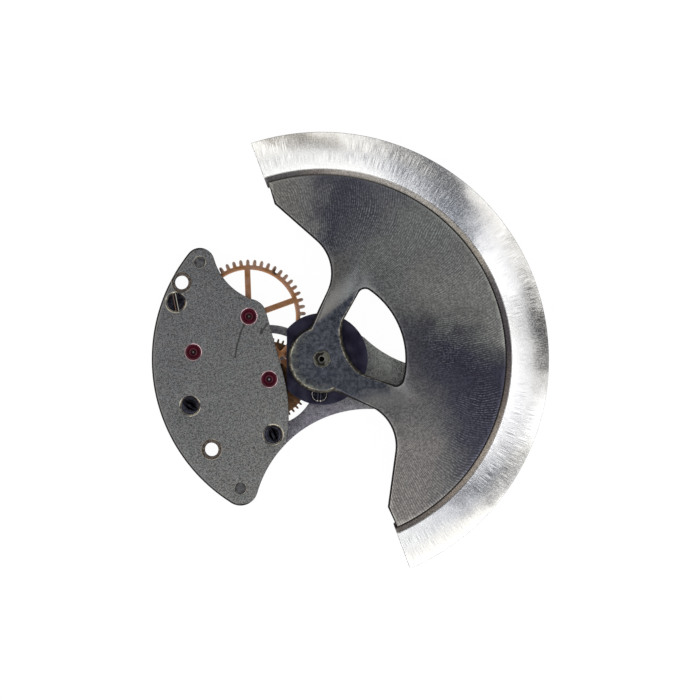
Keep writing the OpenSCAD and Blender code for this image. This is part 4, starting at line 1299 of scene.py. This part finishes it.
def makeBridge():
    # a block with stepped holes, whose underside is then milled out round over the three wheels
    bottom, top = levels("upper_bridge")
    floor, wide = top - bridge["fixingDepth"], bridge["fixingWidth"]
    fixing = (
        (wide + 0.01, top), (wide, top - 0.01), (wide, floor),
        (0.02, floor), (0, floor - 0.02), (0, bottom),
    )
    outline = wound(bridgeOutline())
    width = np.interp(np.linalg.norm(outline, axis=1), (9.2, bridge["outer"] - 0.01), bridge["chamfer"])
    rims = [(outline, chamfered(top, bottom, width))]
    jewelEdge, pinEdge = [rounded(top, bottom, piece["holeEdge"]) for piece in (jewels, pins)]
    rims += bored((reductionAt, driveAt, idlerAt), jewels["radius"], jewelEdge)
    rims += bored(bridge["fixings"], bridge["fixingRadius"], fixing)
    rims += bored(bridge["tips"], pins["radius"], pinEdge)
    rims += screwHoles(bridge["screws"], screws["bridge"], top, bottom)
    piece = shaped("upper_bridge_block", plate(rims))
    ceiling = levels("bearing_plate")[0]
    for place, name in ((driveAt, "drive"), (idlerAt, "idler"), (reductionAt, "reduction")):
        reach = spanOf(f"{name}_wheel") + bridge["recessGap"]
        disc = ((0, 0), (reach, 0), (reach, ceiling), (0, ceiling))
        milled(piece, shaped("recess", lathed(disc, place, count=160)))
    finished(piece, materials["bridge"], "bridge_frame", "bridge_nickel", "upper_bridge")


lowerPlate = {
    "foot": (4.9, -1.75),
    "footRadius": 1.43,
    "footHollow": 6.5,
    "footFrom": 75,             # direction from the foot to its upper hollow's centre
    "hollowsEnd": (140, 226),   # directions at which the foot's lower and upper hollows end
    "footStart": (2.435, 42),   # distance and direction from the axis
    "aperture": 2.646,
    "armWidth": 0.48,           # of the ring-shaped arm about the drive wheel
    "pad": 2.485,
    "padFlat": -1.91,
    "tongue": 0.75,             # half width of the tongue that carries the drive wheel's jewel
    "tongueTurn": 160.3,
    "axleHole": 0.42,
    "edge": 0.03,
}


def footOutline():
    # the foot's round end between a lower and an upper hollow
    foot, radius, hollow = lowerPlate["foot"], lowerPlate["footRadius"], lowerPlate["footHollow"]
    low = lowHollow()
    high = foot + polar(radius + hollow, lowerPlate["footFrom"])
    lowEnd, highEnd = lowerPlate["hollowsEnd"]
    return np.concatenate((
        arc(low, bridge["lowHollow"], lowEnd, heading(low, foot), 40),
        arc(foot, radius, heading(foot, low), heading(foot, high), 30),
        arc(high, hollow, heading(high, foot) + 360, highEnd, 30),
        [polar(*lowerPlate["footStart"]), driveAt],
    ))


def makeLowerPlate():
    # the bridge's outline, foot, arm and pad in one, less the aperture but with the tongue across it
    bottom, top = levels("lower_plate")
    opening, half, turn = lowerPlate["aperture"], lowerPlate["tongue"], lowerPlate["tongueTurn"]
    reach, across = polar(opening + lowerPlate["armWidth"] / 2, turn), polar(half, turn + 90)
    padEnd = math.degrees(math.acos(lowerPlate["padFlat"] / lowerPlate["pad"]))
    solids = [
        bridgeOutline(), footOutline(), circle(driveAt, opening + lowerPlate["armWidth"], 160),
        arc(axis, lowerPlate["pad"], -padEnd, padEnd, 90),
    ]
    tongue = [
        circle(driveAt, half),
        np.array((driveAt + across, driveAt + across + reach, driveAt - across + reach, driveAt - across)),
    ]
    aperture = circle(driveAt, opening, 160)
    holes = [circle(p, jewels["radius"]) for p in (reductionAt, driveAt, idlerAt)]
    holes += [circle(p, bridge["fixingRadius"]) for p in (*bridge["fixings"], lowerPlate["foot"])]
    holes += [circle(p, pins["radius"]) for p in bridge["tips"]]
    holes += [circle(axis, lowerPlate["axleHole"])]
    holes += [circle(p, screws["bridge"]["shank"] + screws["play"], 48) for p in bridge["screws"]]
    holes += [circle(p, screws["bearing"]["shank"] + screws["play"], 48) for p in bearingScrews]

    def metal(points):
        inSolids, inTongue, inHoles = [
            np.any([within(points, loop) for loop in loops], 0) for loops in (solids, tongue, holes)
        ]
        return (inSolids & ~within(points, aperture) | inTongue) & ~inHoles

    shells = sawn([*solids, aperture, *tongue, *holes], metal, top, bottom, lowerPlate["edge"])
    piece = shaped("lower_plate_sheet", shells)
    finished(piece, materials["plate"], "bridge_frame", "plate_nickel", "lower_plate")


def makeBearingPlate():
    # a disc with one flat side, bored for the bush and its two screws
    bottom, top = levels("bearing_plate")
    end = math.degrees(math.acos(bearing["flat"] / bearing["radius"]))
    outline = wound(arc(axis, bearing["radius"], -end, end, 140))
    rims = [(outline, rounded(top, bottom, *bearing["edge"]))]
    rims += bored([axis], bearing["bushHole"], rounded(top, bottom, bearing["holeEdge"]))
    rims += screwHoles(bearingScrews, screws["bearing"], top, bottom)
    piece = shaped("bearing_plate_disc", plate(rims))
    finished(piece, materials["black"], "bridge_frame", "bearing_black", "bearing_plate")


def makeScrews(node, places, kind):
    # turned screws with a rounded head, then one cut across each head
    foot, top = levels(node)
    head, shank, depth = kind["head"], kind["shank"], screws["height"]
    atFoot, atHead = screws["break"]
    under = top - depth
    turn = np.radians(np.linspace(0, 90, 5))
    crown = (head, top) - screws["round"] * (1 - np.column_stack((np.cos(turn), np.sin(turn))))
    profile = np.concatenate((
        ((0, foot), (shank - atFoot, foot), (shank, foot + atFoot), (shank, under)),
        ((head - atHead, under), (head, under + atHead)),
        crown,
        ((0, top),),
    ))
    half, lip, beyond = screws["slot"] / 2, screws["lip"], screws["beyond"]
    right = np.array((
        (half, top - depth / 2), (half, top - lip / 2), (half + lip, top), (half + lip, top + 3 * beyond),
    ))
    cut = np.concatenate((right, (right * (-1, 1))[::-1]))
    bodies, cutters = [], []
    for place, slot in zip(places, kind["slots"]):
        bodies += lathed(profile, place)
        ends = [np.column_stack((np.full(8, x), cut)) for x in (-head - beyond, head + beyond)]
        rings = np.stack([np.column_stack((turned(end[:, :2], slot) + place, end[:, 2])) for end in ends])
        cutters += [carried(rings), (rings[0], np.arange(8)[None, ::-1]), (rings[1], np.arange(8)[None])]
    piece = milled(shaped(f"{node}_turned", bodies), shaped("slots", cutters))
    finished(piece, materials["screw"], "bridge_frame", "screw_steel", node)


def makePins():
    # turned pins with a chamfer at each end
    foot, top = levels("steady_pins")
    radius, small = pins["radius"], pins["break"]
    profile = (
        (0, foot), (radius - small, foot), (radius, foot + small),
        (radius, top - small), (radius - small, top), (0, top),
    )
    shells = [shell for tip in bridge["tips"] for shell in lathed(profile, tip)]
    piece = shaped("steady_pins_turned", shells)
    finished(piece, materials["pin"], "bridge_frame", "pin_steel", "steady_pins")


def makeJewel(node, up):
    # a ring with a rounded rim and an oil sink on its outer face
    low, high = levels(node)
    face, back, sign = (high, low, 1) if up else (low, high, -1)
    radius, small = jewels["radius"], jewels["break"]
    profile = [(jewels["bore"], back), (radius - small, back), (radius, back + small * sign)]
    profile += [(reach, face - depth * sign) for reach, depth in jewels["face"]]
    shells = lathed(profile if up else profile[::-1], middle(node), closed=True)
    finished(shaped(f"{node}_ring", shells, 40), materials["ruby"], "bridge_frame", "ruby", node)


makeBridge()
makeLowerPlate()
makeBearingPlate()
makeScrews("bridge_screws", bridge["screws"], screws["bridge"])
makeScrews("bearing_screws", bearingScrews, screws["bearing"])
makePins()
for wheel in ("reduction", "drive", "idler"):
    makeJewel(f"{wheel}_upper_jewel", True)
    makeJewel(f"{wheel}_lower_jewel", False)
print("bridge and plates are made")


# Wheels

wheels = {
    "edge": (0.02, 0.012),      # rounding above and below
    "reduction": {
        "teeth": 49,
        "module": 0.1262,
        "root": 1.17,           # depth of the teeth inside the pitch circle and height outside it, in modules
        "tip": 1.4,
        "fill": 0.52,           # width of a tooth, as a share of its step
        "phase": 91.3,
        "bore": 0.3,
        "spokes": 5,
        "spokeWidth": 0.34,
        "spokeTurn": 92,
        "rimWidth": 0.26,
        "hub": 0.75,
    },
    "reverser": {
        "teeth": 50,
        "module": 0.0924,
        "root": 1.5,
        "tip": 0.7,
        "fill": 0.42,
        "phase": 77,            # of the drive wheel; the idler's follows from it
        "bore": 0.32,
        "stud": 0.12,           # radius of the two studs' holes, and their distance from the centre
        "studAt": 1.5,
        "studTurns": {"drive": 61, "idler": 130},   # direction of the first
    },
}


def rootOf(kind):
    # radius of the bottom of the teeth
    return (kind["teeth"] / 2 - kind["root"]) * kind["module"]


def toothed(kind, phase):
    # one loop round all teeth; each flank runs from a rounded root past the pitch circle to a rounded point
    teeth, module = kind["teeth"], kind["module"]
    rise = np.array((0, 0.12, 0.45, 0.7, 0.86, 0.96, 1))
    width = np.array((1.3, 1.05, 1, 0.9, 0.7, 0.42, 0.1))
    height = (kind["root"] + kind["tip"]) * module
    radius = rootOf(kind) + height * np.concatenate((rise, rise[::-1]))
    lean = np.concatenate((-width, width[::-1])) * 180 / teeth * kind["fill"]
    turn = phase + 360 / teeth * np.arange(teeth)[:, None] + lean
    return polar(np.broadcast_to(radius, turn.shape), turn).reshape(-1, 2)


def spokedWindows(kind):
    # the openings between the spokes, whose sides are straight
    inner, outer = kind["hub"], rootOf(kind) - kind["rimWidth"]
    near, far = [math.degrees(math.asin(kind["spokeWidth"] / 2 / radius)) for radius in (inner, outer)]
    step = 360 / kind["spokes"]
    return [
        np.concatenate((
            arc(axis, outer, turn + far, turn + step - far, 30),
            arc(axis, inner, turn + step - near, turn + near, 14),
        ))
        for turn in kind["spokeTurn"] + step * np.arange(kind["spokes"])
    ]


def cutWheel(node, kind, place, phase, openings):
    # a toothed plate, bored and pierced, with barely rounded edges
    bottom, top = levels(node)
    edge = rounded(top, bottom, *wheels["edge"], steps=2)
    rims = [(wound(toothed(kind, phase) + place), edge)]
    rims += [(wound(hole + place, hole=True), edge) for hole in (circle(axis, kind["bore"]), *openings)]
    return shaped(f"{node}_cut", plate(rims), 50)


def makeReductionWheel():
    kind = wheels["reduction"]
    piece = cutWheel("reduction_wheel", kind, reductionAt, kind["phase"], spokedWindows(kind))
    finished(piece, materials["copper"], "reduction", "wheel_copper", "reduction_wheel")


def makeReverserWheels():
    # the idler's teeth stand in the drive wheel's gaps on the line between the two centres
    kind = wheels["reverser"]
    line, step = heading(driveAt, idlerAt), 360 / kind["teeth"]
    idlerPhase = 2 * line + 180 - step / 2 - kind["phase"]
    for name, place, phase in (("drive", driveAt, kind["phase"]), ("idler", idlerAt, idlerPhase)):
        studs = [polar(kind["studAt"], kind["studTurns"][name] + turn) for turn in (0, 180)]
        openings = [circle(stud, kind["stud"], 48) for stud in studs]
        piece = cutWheel(f"{name}_wheel", kind, place, phase, openings)
        finished(piece, materials["brass"], f"{name}_reverser_wheel", "reverser_brass", f"{name}_wheel")


makeReductionWheel()
makeReverserWheels()
print("wheels are made")


# CAD nodes that keep their own shape

plainNodes = {
    "pillars": "arbor",
    "bush": "bronze",
    "studs": "arbor",
    "pawl": "pawl",
    "pinion": "arbor",
    "arbor": "arbor",
    "ratchet": "arbor",
}
for name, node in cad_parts.items():
    if not node.hide_render:
        metal = next(choice for word, choice in plainNodes.items() if word in name)
        node.data.materials.clear()
        node.data.materials.append(materials[metal])
